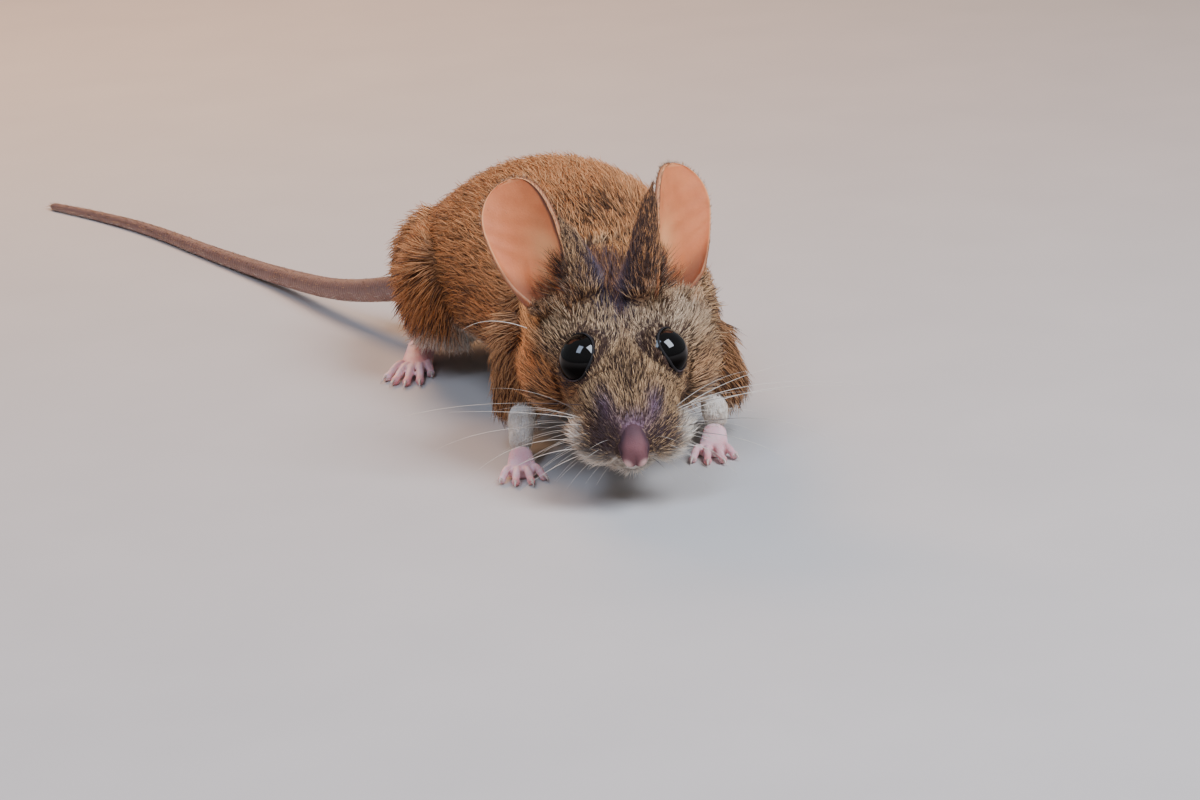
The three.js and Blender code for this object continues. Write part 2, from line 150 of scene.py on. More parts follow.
@dataclass
class Surface:
    """Points and quads or triangles of a mesh, with numbers at the points that its finish reads."""

    points: Array
    faces: list[Array]
    marks: dict[str, Array] = field(default_factory=dict)

    def volume(self) -> float:
        """The signed volume inside the faces, as a sum of tetrahedra to the origin."""
        total = 0.0
        for faces in self.faces:
            for k in range(1, faces.shape[1] - 1):
                a, b, c = (self.points[faces[:, j]] for j in (0, k, k + 1))
                total += float((np.cross(a, b) * c).sum()) / 6
        return total

    def outwards(self) -> Surface:
        """The same surface with its faces turned outwards."""
        if self.volume() >= 0:
            return self
        return Surface(self.points, [f[:, ::-1] for f in self.faces], self.marks)

    def triangles(self) -> Array:
        """Every face as triangles, in the order of the faces."""
        parts = [np.stack([f[:, 0], f[:, k], f[:, k + 1]], 1) for f in self.faces
                 for k in range(1, f.shape[1] - 1)]
        return np.concatenate(parts)

    def normals(self) -> Array:
        """Vertex normals, weighted by the area of the triangles round each point."""
        tri = self.triangles()
        a, b, c = (self.points[tri[:, k]] for k in range(3))
        across = np.cross(b - a, c - a)
        total = np.zeros_like(self.points)
        for k in range(3):
            for axis in range(3):
                total[:, axis] += np.bincount(tri[:, k], across[:, axis], len(self.points))
        return unit(total)


def joined(surfaces: list[Surface]) -> Surface:
    """Several surfaces as one, with their points, faces and marks one after another."""
    starts = np.cumsum([0] + [len(s.points) for s in surfaces[:-1]])
    names = sorted({name for s in surfaces for name in s.marks})
    marks = {name: np.concatenate([s.marks.get(name, np.zeros(len(s.points))) for s in surfaces])
             for name in names}
    by_sides: dict[int, list[Array]] = {}
    for start, surface in zip(starts, surfaces):
        for faces in surface.faces:
            by_sides.setdefault(faces.shape[1], []).append(faces + start)
    return Surface(np.concatenate([s.points for s in surfaces]),
                   [np.concatenate(by_sides[sides]) for sides in sorted(by_sides)], marks)


def with_ends(values: Array) -> Array:
    """Numbers given on rings, as a closed tube numbers its points: ring by ring, then its two ends."""
    return np.concatenate([values.ravel(), values[[0, -1]].mean(1)])


def closed_tube(rings: Array, marks: dict[str, Array] | None = None) -> Surface:
    """A surface through rings of points, closed at both ends by a point at the middle of the end rings.

    Args:
        rings: points of shape (rows, around, 3).
        marks: numbers of shape (rows, around).

    Returns:
        The closed surface, facing outwards.
    """
    rows, around = rings.shape[:2]
    index = np.arange(rows * around).reshape(rows, around)
    after = np.roll(index, -1, 1)
    quads = np.stack([index[:-1], after[:-1], after[1:], index[1:]], -1).reshape(-1, 4)
    first, last = rows * around, rows * around + 1
    caps = [np.stack([after[0], index[0], np.full(around, first)], 1),
            np.stack([index[-1], after[-1], np.full(around, last)], 1)]
    points = np.concatenate([rings.reshape(-1, 3), rings[[0, -1]].mean(1)])
    ended = {name: with_ends(values) for name, values in (marks or {}).items()}
    return Surface(points, [np.concatenate(caps), quads], ended).outwards()


class Path:
    """A smooth path through evenly spaced points, with a side and an up that go with it."""

    STEP = 0.01

    def __init__(self, points: Array, up: Point = (0, 0, 1)) -> None:
        """Keeps the points and the hint that the path's up stays close to."""
        self.points = np.asarray(points, float)
        self.hint = np.array(up, float)

    def at(self, t: Array) -> Array:
        """The points at shares t of the path."""
        return through(self.points, t)

    def length(self) -> float:
        """The path's length, measured along a hundred chords."""
        return float(np.linalg.norm(np.diff(self.at(np.linspace(0, 1, 101)), axis=0), axis=1).sum())

    def frame(self, t: Array) -> tuple[Array, Array, Array]:
        """The directions ahead, to the side and up at shares t."""
        t = np.asarray(t, float)
        ahead = unit(self.at(np.minimum(t + self.STEP, 1)) - self.at(np.maximum(t - self.STEP, 0)))
        side = unit(np.cross(ahead, self.hint))
        return ahead, side, np.cross(side, ahead)


@dataclass(frozen=True)
class Station:
    """A point of a loft's path, and its ring's half width, height above and depth below it."""

    at: Point
    wide: float
    above: float = 0.0
    below: float = 0.0

    def sizes(self) -> Point:
        """The three sizes; a missing one is the same as the one before it."""
        above = self.above or self.wide
        return self.wide, above, self.below or above


@dataclass(frozen=True)
class Loft:
    """Rings of a squared ellipse carried along a path, inside the coat's outline by the coat's depth."""

    stations: tuple[Station, ...]
    coat: Pair = (0.0, 0.0)
    ends: Pair = (0.1, 0.1)
    squareness: float = 2.0
    up: Point = (0, 0, 1)
    around: int = 48
    along: int = 48

    def path(self) -> Path:
        """The loft's path."""
        return Path([s.at for s in self.stations], self.up)

    def sizes(self, t: Array) -> Array:
        """Width, height above and depth below at shares t, less the coat."""
        coat = np.interp(t, [0, 1], self.coat)[:, None]
        return through([s.sizes() for s in self.stations], t) - coat

    def rings(self) -> Array:
        """The rings: they shrink towards the ends as a quarter ellipse, and the coat draws the ends in."""
        path = self.path()
        length = path.length()
        s = 0.5 - 0.5 * np.cos(np.pi * np.linspace(0.004, 0.996, self.along + 1))
        t = self.coat[0] / length + s * (1 - sum(self.coat) / length)
        a = np.maximum(0, 1 - s / self.ends[0])
        b = np.maximum(0, 1 - (1 - s) / self.ends[1])
        wide, above, below = (self.sizes(t) * np.sqrt((1 - a * a) * (1 - b * b))[:, None]).T[:, :, None]
        angle = np.linspace(0, 2 * np.pi, self.around, endpoint=False)
        out, high = (np.sign(v) * np.abs(v) ** (2 / self.squareness) for v in (np.cos(angle), np.sin(angle)))
        _, side, up = path.frame(t)
        reach = np.where(high > 0, above, below) * high
        return path.at(t)[:, None] + side[:, None] * (out * wide)[..., None] + up[:, None] * reach[..., None]

    def surface(self) -> Surface:
        """The closed surface over the rings."""
        return closed_tube(self.rings())


def ball(at: Point, size: Point, around: int = 36) -> Surface:
    """An ellipsoid: rings of latitude from pole to pole."""
    turn = np.linspace(0, 2 * np.pi, around, endpoint=False)
    fall = np.linspace(0.02, np.pi - 0.02, around // 2)[:, None]
    rings = np.stack([np.sin(fall) * np.cos(turn), np.sin(fall) * np.sin(turn), np.cos(fall) + 0 * turn], -1)
    return closed_tube(np.array(at) + rings * np.array(size))


def smoothed(surface: Surface, rounds: int, share: Array | float = 1.0) -> Surface:
    """Evens a mesh of quads out by Taubin's rule: a step towards the neighbours' mean, and one back.

    Args:
        surface: a mesh of quads.
        rounds: how often both steps are taken.
        share: how far each point takes part.

    Returns:
        The evened surface.
    """
    quads = surface.faces[0]
    here = np.concatenate([quads.ravel(), np.roll(quads, -1, 1).ravel()])
    there = np.concatenate([np.roll(quads, -1, 1).ravel(), quads.ravel()])
    points, count = surface.points.copy(), np.bincount(here, minlength=len(surface.points))
    share = np.broadcast_to(share, len(points))[:, None]
    for _ in range(rounds):
        for factor in (0.55, -0.56):
            sums = [np.bincount(here, points[there, axis], len(points)) for axis in range(3)]
            points = points + factor * share * (np.stack(sums, 1) / count[:, None] - points)
    return Surface(points, [quads])


# ---- meshes


def mesh_object(name: str, surface: Surface) -> bpy.types.Object:
    """Puts a surface into a new smooth object at the origin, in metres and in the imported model's frame.

    Args:
        name: the object's name.
        surface: points in the working frame, with their faces.

    Returns:
        The new object.
    """
    mesh = raw_mesh(name, (surface.points - CENTRE) * MM, surface.faces)
    mesh.polygons.foreach_set("use_smooth", np.ones(len(mesh.polygons), bool))
    piece = bpy.data.objects.new(name, mesh)
    bpy.context.scene.collection.objects.link(piece)
    return piece


def raw_mesh(name: str, points: Array, faces: list[Array]) -> bpy.types.Mesh:
    """A mesh from arrays of points and of faces, without a loop over either."""
    mesh = bpy.data.meshes.new(name)
    corners = np.concatenate([f.ravel() for f in faces]).astype(np.int32)
    sides = np.concatenate([np.full(len(f), f.shape[1]) for f in faces])
    mesh.vertices.add(len(points))
    mesh.vertices.foreach_set("co", np.ascontiguousarray(points, np.float32).ravel())
    mesh.loops.add(len(corners))
    mesh.loops.foreach_set("vertex_index", corners)
    mesh.polygons.add(len(sides))
    mesh.polygons.foreach_set("loop_start", (np.cumsum(sides) - sides).astype(np.int32))
    mesh.update(calc_edges=True)
    return mesh


def put_attribute(piece: bpy.types.Object, name: str, values: Array) -> None:
    """Stores one number for each point of a piece, for its material to read."""
    layer = piece.data.attributes.new(name, "FLOAT", "POINT")
    layer.data.foreach_set("value", np.ascontiguousarray(values, np.float32))


def remeshed(surfaces: list[Surface], voxel: float) -> Surface:
    """Joins closed surfaces that cut into each other into one skin of even quads, by a voxel remesh.

    Args:
        surfaces: closed surfaces in the working frame.
        voxel: the size of a quad, in millimetres.

    Returns:
        The joined surface.
    """
    whole = joined(surfaces)
    piece = bpy.data.objects.new("rough", raw_mesh("rough", whole.points, whole.faces))
    bpy.context.scene.collection.objects.link(piece)
    modifier = piece.modifiers.new("voxels", "REMESH")
    modifier.mode = "VOXEL"
    modifier.voxel_size = voxel
    made = piece.evaluated_get(bpy.context.evaluated_depsgraph_get()).to_mesh()
    points = np.zeros(len(made.vertices) * 3, np.float32)
    made.vertices.foreach_get("co", points)
    corners = np.zeros(len(made.loops), np.int32)
    made.loops.foreach_get("vertex_index", corners)
    piece.to_mesh_clear()
    bpy.data.objects.remove(piece)
    return Surface(points.reshape(-1, 3).astype(float), [corners.reshape(-1, 4)]).outwards()


# ---- the head's frame


@dataclass(frozen=True)
class HeadFrame:
    """The head's own frame: x to the mouse's left, y back from the tip of the nose, z up."""

    nose: Point = (0.7, -9.8, 6.9)
    yaw: float = 3.7
    pitch: float = 25.0

    def turn(self) -> Array:
        """The rotation from the head's frame to the working frame: pitch about x, then yaw about z."""
        a, b = math.radians(self.yaw), math.radians(self.pitch)
        about_z = np.array([[math.cos(a), -math.sin(a), 0], [math.sin(a), math.cos(a), 0], [0, 0, 1]])
        about_x = np.array([[1, 0, 0], [0, math.cos(b), -math.sin(b)], [0, math.sin(b), math.cos(b)]])
        return about_z @ about_x

    def out(self, points: Array) -> Array:
        """Points of the head's frame in the working frame."""
        return np.asarray(points, float) @ self.turn().T + np.array(self.nose)

    def into(self, points: Array) -> Array:
        """Points of the working frame in the head's frame."""
        return (np.asarray(points, float) - np.array(self.nose)) @ self.turn()

    def placed(self, surface: Surface) -> Surface:
        """A surface of the head's frame in the working frame."""
        return Surface(self.out(surface.points), surface.faces, surface.marks)


HEAD = HeadFrame()


# ---- forms under the coat


@dataclass(frozen=True)
class Growth:
    """How the coat grows at one place.

    Attributes:
        length: of a tuft, in millimetres.
        width: of a tuft at its widest.
        rise: the slope at which it leaves the skin.
        height: of its tip over the skin, as a share of its length.
        density: tufts on a square millimetre.
    """

    length: float
    width: float
    rise: float
    height: float
    density: float

    def row(self) -> list[float]:
        """The values in their order."""
        return [self.length, self.width, self.rise, self.height, self.density]


Growths = tuple[Growth, Growth]  # at the start and at the end of a form


@dataclass(frozen=True)
class Form:
    """A furred form.

    Attributes:
        name: the form's name.
        loft: its shape.
        growth: how the coat grows at the start and at the end of its path.
        in_head: whether the loft is given in the head's frame.
        way: which way its coat lies, in the same frame, where that isn't along its path.
    """

    name: str
    loft: Loft
    growth: Growths
    in_head: bool = False
    way: Point | None = None

    def surface(self) -> Surface:
        """The form's closed surface in the working frame."""
        made = self.loft.surface()
        return HEAD.placed(made) if self.in_head else made


def between(a: Point, b: Point, share: float, up: float = 0.0) -> Point:
    """A point between two joints, optionally moved up."""
    x, y, z = (p + (q - p) * share for p, q in zip(a, b))
    return x, y, z + up


@dataclass(frozen=True)
class Trunk:
    """Neck, chest, loin and rump in one loft, from behind the head to the root of the tail."""

    stations: tuple[Station, ...] = (
        Station((1.0, 9.0, 14.6), 8.6, 8.2, 7.0),
        Station((0.6, 16.0, 12.6), 10.8, 11.6, 9.0),
        Station((-1.0, 25.0, 12.8), 12.6, 12.8, 9.8),
        Station((-3.8, 35.0, 14.0), 13.2, 14.0, 10.8),
        Station((-8.0, 45.0, 14.0), 12.8, 14.0, 10.4),
        Station((-13.2, 54.5, 12.4), 11.6, 11.6, 8.8),
        Station((-18.4, 62.5, 10.4), 8.6, 8.0, 6.4),
        Station((-23.2, 69.0, 8.2), 4.2, 4.0, 3.2),
    )
    nape: Point = (0.5, 16.2, 15.5)  # the middle of the muscle that fills the nape
    nape_size: Point = (9.6, 6.6, 7.95)
    coat: Pair = (0.9, 1.0)
    growth: Growths = (Growth(3.6, 0.12, 0.42, 0.18, 19.0), Growth(4.4, 0.15, 0.4, 0.17, 14.0))

    def form(self) -> Form:
        """The trunk as one form."""
        loft = Loft(self.stations, self.coat, (0.06, 0.1), 2.25, around=96, along=120)
        return Form("trunk", loft, self.growth)


@dataclass(frozen=True)
class Skull:
    """The head's upper form and its jaw, in the head's frame."""

    stations: tuple[Station, ...] = (
        Station((0, 0.2, -0.8), 2.3, 2.1, 2.1),
        Station((0, 3.9, -0.4), 4.2, 3.6, 3.2),
        Station((0, 7.9, -0.1), 5.7, 5.0, 5.0),
        Station((0, 12.4, 0.4), 7.2, 6.0, 6.2),
        Station((0, 17.4, 0.3), 9.9, 6.9, 7.6),
        Station((0, 22.2, -0.4), 10.7, 7.7, 8.2),
        Station((0, 26.8, -1.9), 10.2, 7.7, 7.7),
        Station((0, 30.6, -4.2), 8.8, 6.4, 6.4),
    )
    jaw: tuple[Station, ...] = (
        Station((0, 2.6, -4.3), 1.7, 1.2, 1.0),
        Station((0, 6.0, -4.7), 3.4, 1.8, 1.6),
        Station((0, 11.0, -5.6), 4.9, 2.2, 2.0),
        Station((0, 16.0, -6.4), 5.4, 2.2, 2.2),
    )
    pad_at: Point = (2.85, 4.6, -0.6)  # a whisker pad, on the left
    pad_size: Point = (3.05, 3.6, 2.45)
    cheek_at: Point = (6.5, 18.4, -2.6)
    cheek_size: Point = (4.0, 5.6, 3.8)
    growth: Growths = (Growth(0.75, 0.07, 0.45, 0.2, 46.0), Growth(3.0, 0.12, 0.42, 0.2, 22.0))

    def forms(self) -> list[Form]:
        """The skull and the jaw."""
        skull = Loft(self.stations, (0.25, 1.0), (0.12, 0.14), 2.3, around=96, along=96)
        jaw = Loft(self.jaw, (0.2, 0.5), (0.25, 0.3), 2.2)
        return [Form("skull", skull, self.growth, True), Form("jaw", jaw, self.growth, True)]

    def swellings(self) -> list[Surface]:
        """The whisker pads, either side of the nose, and the cheeks."""
        made = []
        for (x, y, z), size in ((self.pad_at, self.pad_size), (self.cheek_at, self.cheek_size)):
            made += [HEAD.placed(ball((side.value * x, y, z), size)) for side in Side]
        return made


@dataclass(frozen=True)
class Toes:
    """A hand's or foot's sole and its fan of toes.

    Attributes:
        neck: half the thickness of the wrist or ankle.
        sole: half its width, and its thickness.
        count, length, thick, spread: of the toes; spread is the angle between two, in degrees.
        shapes: along a toe, the share of its length, the height of its axis and the share of its thickness.
        claw: the same along a claw.
        shortening, setback, innermost: how the outer toes are shorter and start further back, and the length
            of a hind foot's innermost toe against the others.
    """

    neck: float
    sole: Pair
    count: int
    length: float
    thick: float
    spread: float
    shapes: tuple[Point, ...] = (
        (-0.12, 1.0, 1.0), (0.18, 1.2, 1.0), (0.42, 1.16, 0.88), (0.62, 0.92, 0.98), (0.8, 0.68, 0.86),
        (0.98, 0.5, 1.04), (1.13, 0.42, 0.8),
    )
    claw: tuple[Point, ...] = ((0.98, 0.68, 0.34), (1.14, 0.72, 0.32), (1.28, 0.52, 0.22), (1.4, 0.16, 0.05))
    shortening: float = 0.2
    setback: Pair = (0.12, 0.32)
    innermost: float = 0.62


PAW_VOXEL = 0.16
PAW_HAIR = Growth(0.55, 0.045, 0.3, 0.12, 30.0)
FLOOR_GAP = 0.02  # that bare skin keeps over the floor
HAND = Toes(neck=1.2, sole=(1.75, 1.05), count=4, length=2.9, thick=0.47, spread=17)
FOOT = Toes(neck=1.5, sole=(1.95, 1.15), count=5, length=5.2, thick=0.52, spread=9)


@dataclass(frozen=True)
class Leg:
    """What every leg has: where its joints and its toes are, and which way its foot heads.

    Attributes:
        side: the mouse's right or left.
        heading: the turn of the foot from straight ahead to the mouse's left, in degrees.
        toes: where the middle toe ends on the floor.
    """

    side: Side
    heading: float
    toes: Pair

    def foot_kind(self) -> Toes:
        """The sizes of the hand or foot."""
        raise NotImplementedError

    def last_joint(self) -> Point:
        """The wrist or the ankle."""
        raise NotImplementedError

    @staticmethod
    def _way(angle: float) -> Array:
        """The direction on the floor at an angle from straight ahead."""
        return np.array([math.sin(angle), -math.cos(angle), 0.0])

    def ball_of_foot(self) -> Array:
        """Where the toes start, on the floor."""
        return np.array([*self.toes, 0.0]) - self._way(math.radians(self.heading)) * self.foot_kind().length

    def digits(self, shapes: tuple[Point, ...]) -> list[Loft]:
        """A loft for each toe or each claw, from the shapes along it."""
        kind, turn = self.foot_kind(), math.radians(self.heading)
        outermost = (kind.count - 1) / 2
        made = []
        for k in range(kind.count):
            rank = k - outermost
            share = rank / outermost
            innermost = kind.count == 5 and rank * self.side.value == -outermost
            length = kind.length * (1 - kind.shortening * share ** 2) * (kind.innermost if innermost else 1)
            back = kind.setback[0] + (kind.setback[1] - kind.setback[0]) * share ** 2
            half = kind.sole[0] - 0.7 * kind.thick
            start = (self.ball_of_foot() + self._way(turn + math.pi / 2) * share * half
                     - self._way(turn) * kind.length * back)
            way = self._way(turn + math.radians(kind.spread) * rank)
            stations = tuple(Station((*(start + way * out * length)[:2], high), thick * kind.thick)
                             for out, high, thick in shapes)
            made.append(Loft(stations, ends=(0.1, 0.16), around=20, along=30))
        return made

    def sole(self) -> Loft:
        """The pad from the ball of the foot to the wrist or ankle."""
        kind, front, joint = self.foot_kind(), tuple(self.ball_of_foot()), self.last_joint()
        wide, thick = kind.sole
        x0, y0, _ = between(front, joint, -0.06)
        x1, y1, _ = between(front, joint, 0.25)
        x2, y2, _ = between(front, joint, 0.62)
        stations = (Station((x0, y0, 0.75), 0.95 * wide, 0.62 * thick, 0.75),
                    Station((x1, y1, 0.85), wide, 0.85 * thick, 0.85),
                    Station((x2, y2, joint[2] / 2 + 0.45), 0.86 * wide, 1.05 * thick, 1.1 * thick),
                    Station(joint, kind.neck))
        return Loft(stations, ends=(0.22, 0.12), squareness=2.3, around=40, along=40)

    def paw(self) -> Surface:
        """The bare hand or foot with its toes, flattened on the floor."""
        kind = self.foot_kind()
        parts = [self.sole().surface()] + [d.surface() for d in self.digits(kind.shapes)]
        made = smoothed(remeshed(parts, PAW_VOXEL), 3)
        made.points[:, 2] = np.maximum(made.points[:, 2], FLOOR_GAP)
        ahead = (made.points - self.ball_of_foot()) @ self._way(math.radians(self.heading)) / kind.length
        made.marks = {"accent": 0.75 * ease(ahead, 0.5, 1.05)}
        return made

    def down(self) -> tuple[Surface, Fields, Array]:
        """The paw with the fine hairs on its back: they lie towards the toes, and its chart is its plan."""
        paw = self.paw()
        count = len(paw.points)
        rising = paw.normals()[:, 2]
        growth = np.tile(PAW_HAIR.row(), (count, 1))
        growth[:, 4] *= ease(rising, 0.1, 0.6)
        lie = np.tile(self._way(math.radians(self.heading)), (count, 1))
        low, high = paw.points.min(0), paw.points.max(0)
        chart = ((paw.points - low) / (high - low))[:, :2]
        return paw, Fields(lie, growth, {"under": np.ones(count)}), chart

    def claws(self) -> list[Surface]:
        """The claws at the ends of the toes."""
        return [d.surface() for d in self.digits(self.foot_kind().claw)]


@dataclass(frozen=True)
class Foreleg(Leg):
    """An upper arm beside the chest, a forearm and a hand."""

    chest: Point
    shoulder: Point
    elbow: Point
    wrist: Point
    growth: Growths = (Growth(3.4, 0.12, 0.42, 0.18, 19.0), Growth(2.6, 0.11, 0.45, 0.2, 20.0))
    forearm_growth: Growths = (Growth(1.8, 0.07, 0.32, 0.13, 30.0), Growth(0.8, 0.045, 0.26, 0.1, 44.0))

    def foot_kind(self) -> Toes:
        """The sizes of the hand."""
        return HAND

    def last_joint(self) -> Point:
        """The wrist."""
        return self.wrist

    def forms(self) -> list[Form]:
        """The upper arm and the forearm."""
        upper = Loft((Station(self.chest, 3.6, 4.6), Station(self.shoulder, 5.4, 6.0),
                      Station(self.elbow, 3.9, 4.5),
                      Station(between(self.elbow, self.elbow, 0, -2.6), 2.4, 2.8)),
                     (1.0, 0.8), (0.3, 0.28), 2.1, (0, -1, 0.2))
        arm = (Station(between(self.elbow, self.wrist, -0.1), 2.4),
               Station(between(self.elbow, self.wrist, 0.5), 1.9),
               Station(between(self.elbow, self.wrist, 1, 0.3), 1.45))
        fore = Loft(arm, (0.5, 0.25), (0.25, 0.12))
        return [Form(f"upper_arm_{self.side.word}", upper, self.growth),
                Form(f"forearm_{self.side.word}", fore, self.forearm_growth)]


@dataclass(frozen=True)
class Hindleg(Leg):
    """A thigh beside the loin, a shank and a foot; buttock is the middle of the muscle behind the thigh."""

    hip: Point
    knee: Point
    ankle: Point
    buttock: Point
    buttock_size: Point = (6.4, 8.4, 7.4)
    growth: Growths = (Growth(4.2, 0.16, 0.4, 0.17, 12.5), Growth(3.2, 0.14, 0.42, 0.18, 14.0))
    shank_growth: Growths = (Growth(2.5, 0.11, 0.42, 0.18, 20.0), Growth(1.0, 0.07, 0.35, 0.14, 30.0))

    def foot_kind(self) -> Toes:
        """The sizes of the foot."""
        return FOOT

    def last_joint(self) -> Point:
        """The ankle."""
        return self.ankle

    def forms(self) -> list[Form]:
        """The thigh and the shank."""
        thigh = Loft((Station(between(self.hip, self.knee, -0.35), 4.6, 6.4, 5.4),
                      Station(self.hip, 7.4, 8.6, 7.4),
                      Station(between(self.hip, self.knee, 0.55), 6.6, 8.0, 7.2),
                      Station(self.knee, 5.8, 6.6, 6.2)),
                     (1.3, 1.1), (0.3, 0.3), 2.1)
        shank = Loft((Station(between(self.knee, self.ankle, 0.28, -0.6), 3.3),
                      Station(between(self.knee, self.ankle, 0.62, -0.4), 3.0),
                      Station(between(self.knee, self.ankle, 1, 0.3), 2.0)), (0.8, 0.35), (0.2, 0.15))
        return [Form(f"thigh_{self.side.word}", thigh, self.growth, way=(0, 0.8, -0.6)),
                Form(f"shank_{self.side.word}", shank, self.shank_growth)]


FORELEGS = (
    Foreleg(Side.RIGHT, 4, (-11.9, 2.6), chest=(-7.9, 17.6, 16.4), shoulder=(-9.2, 18.5, 13.0),
            elbow=(-11.6, 18.0, 6.8), wrist=(-12.2, 9.0, 2.3)),
    Foreleg(Side.LEFT, 6, (10.0, 6.6), chest=(7.0, 18.1, 15.8), shoulder=(7.0, 19.0, 12.4),
            elbow=(10.6, 19.0, 6.8), wrist=(10.3, 13.0, 2.6)),
)
HINDLEGS = (
    Hindleg(Side.RIGHT, -9, (-26.6, 45.6), hip=(-19.0, 54.6, 12.2), knee=(-22.8, 44.4, 9.0),
            ankle=(-24.0, 63.0, 3.4), buttock=(-20.4, 58.4, 11.4)),
    Hindleg(Side.LEFT, 36, (4.6, 54.6), hip=(-6.6, 58.4, 12.2), knee=(2.0, 51.2, 9.0),
            ankle=(-6.8, 68.6, 3.4), buttock=(-9.8, 60.6, 11.4)),
)


def spokes(side: Array, up: Array, angle: Array) -> Array:
    """Directions at angles round a path, from its side over its up."""
    return side[:, None] * np.cos(angle)[:, None] + up[:, None] * np.sin(angle)[:, None]


@dataclass(frozen=True)
class Tail:
    """A tapering tail with rings of fine scales, which comes down to the floor and lies on it.

    Each ring of scales is a low sawtooth on the radius: it rises along a scale and drops at its edge.
    """

    stations: tuple[Station, ...] = (
        Station((-19.5, 63.0, 9.0), 2.0),
        Station((-27.5, 67.4, 7.0), 1.7),
        Station((-36.0, 80.4, 3.8), 1.46),
        Station((-45.2, 97.4, 1.75), 1.26),
        Station((-55.0, 113.8, 0.98), 1.08),
        Station((-65.2, 130.2, 0.82), 0.9),
        Station((-73.6, 141.2, 0.67), 0.75),
        Station((-82.6, 151.0, 0.53), 0.6),
    )
    rings_of_scales: int = 170
    steps: int = 4  # rings of points for each ring of scales
    relief: float = 0.035  # of the radius
    around: int = 16
    end: float = 0.015  # share of the path over which the tip rounds off
    growth: Growth = Growth(0.75, 0.045, 0.3, 0.14, 6.0)

    def path(self) -> Path:
        """The tail's path."""
        return Path([s.at for s in self.stations])

    def surface(self) -> Surface:
        """The tail's skin."""
        t = np.linspace(0, 1, self.rings_of_scales * self.steps + 1)
        path = self.path()
        _, side, up = path.frame(t)
        rise = np.modf(t * self.rings_of_scales)[0]
        tip = np.sqrt(np.clip((1 - t) / self.end, 0.001, 1))
        scaly = 1 - self.relief + self.relief * rise
        radius = through([[s.wide] for s in self.stations], t)[:, 0] * scaly * tip
        angle = np.linspace(0, 2 * np.pi, self.around, endpoint=False)
        rings = path.at(t)[:, None] + spokes(side, up, angle) * radius[:, None, None]
        rings[..., 2] = np.maximum(rings[..., 2], FLOOR_GAP)
        # the shade mark here is the tail's own darker top, not shade
        dark = np.broadcast_to(0.75 * ease(np.sin(angle), -0.3, 0.5), rings.shape[:2])
        return closed_tube(rings, {"shade": dark, "along_tail": np.broadcast_to(t[:, None], rings.shape[:2]),
                                   "round_tail": np.broadcast_to(angle / (2 * np.pi), rings.shape[:2])})

    def down(self) -> tuple[Surface, Fields, Array]:
        """The tail with its sparse fine hairs, longer towards the tip; its chart runs along and round it."""
        tail = self.surface()
        along, turn = tail.marks["along_tail"], tail.marks["round_tail"]
        count = len(tail.points)
        growth = np.tile(self.growth.row(), (count, 1))
        growth[:, 0] *= 1 + 0.8 * along
        masks = {"dusk": 0.6 * ease(np.sin(turn * 2 * np.pi), -0.3, 0.5),
                 "under": 1 - ease(np.sin(turn * 2 * np.pi), -0.6, 0.2)}
        return tail, Fields(self.path().frame(along)[0], growth, masks), np.stack([turn, along], 1)


# ---- eyes, nose and ears


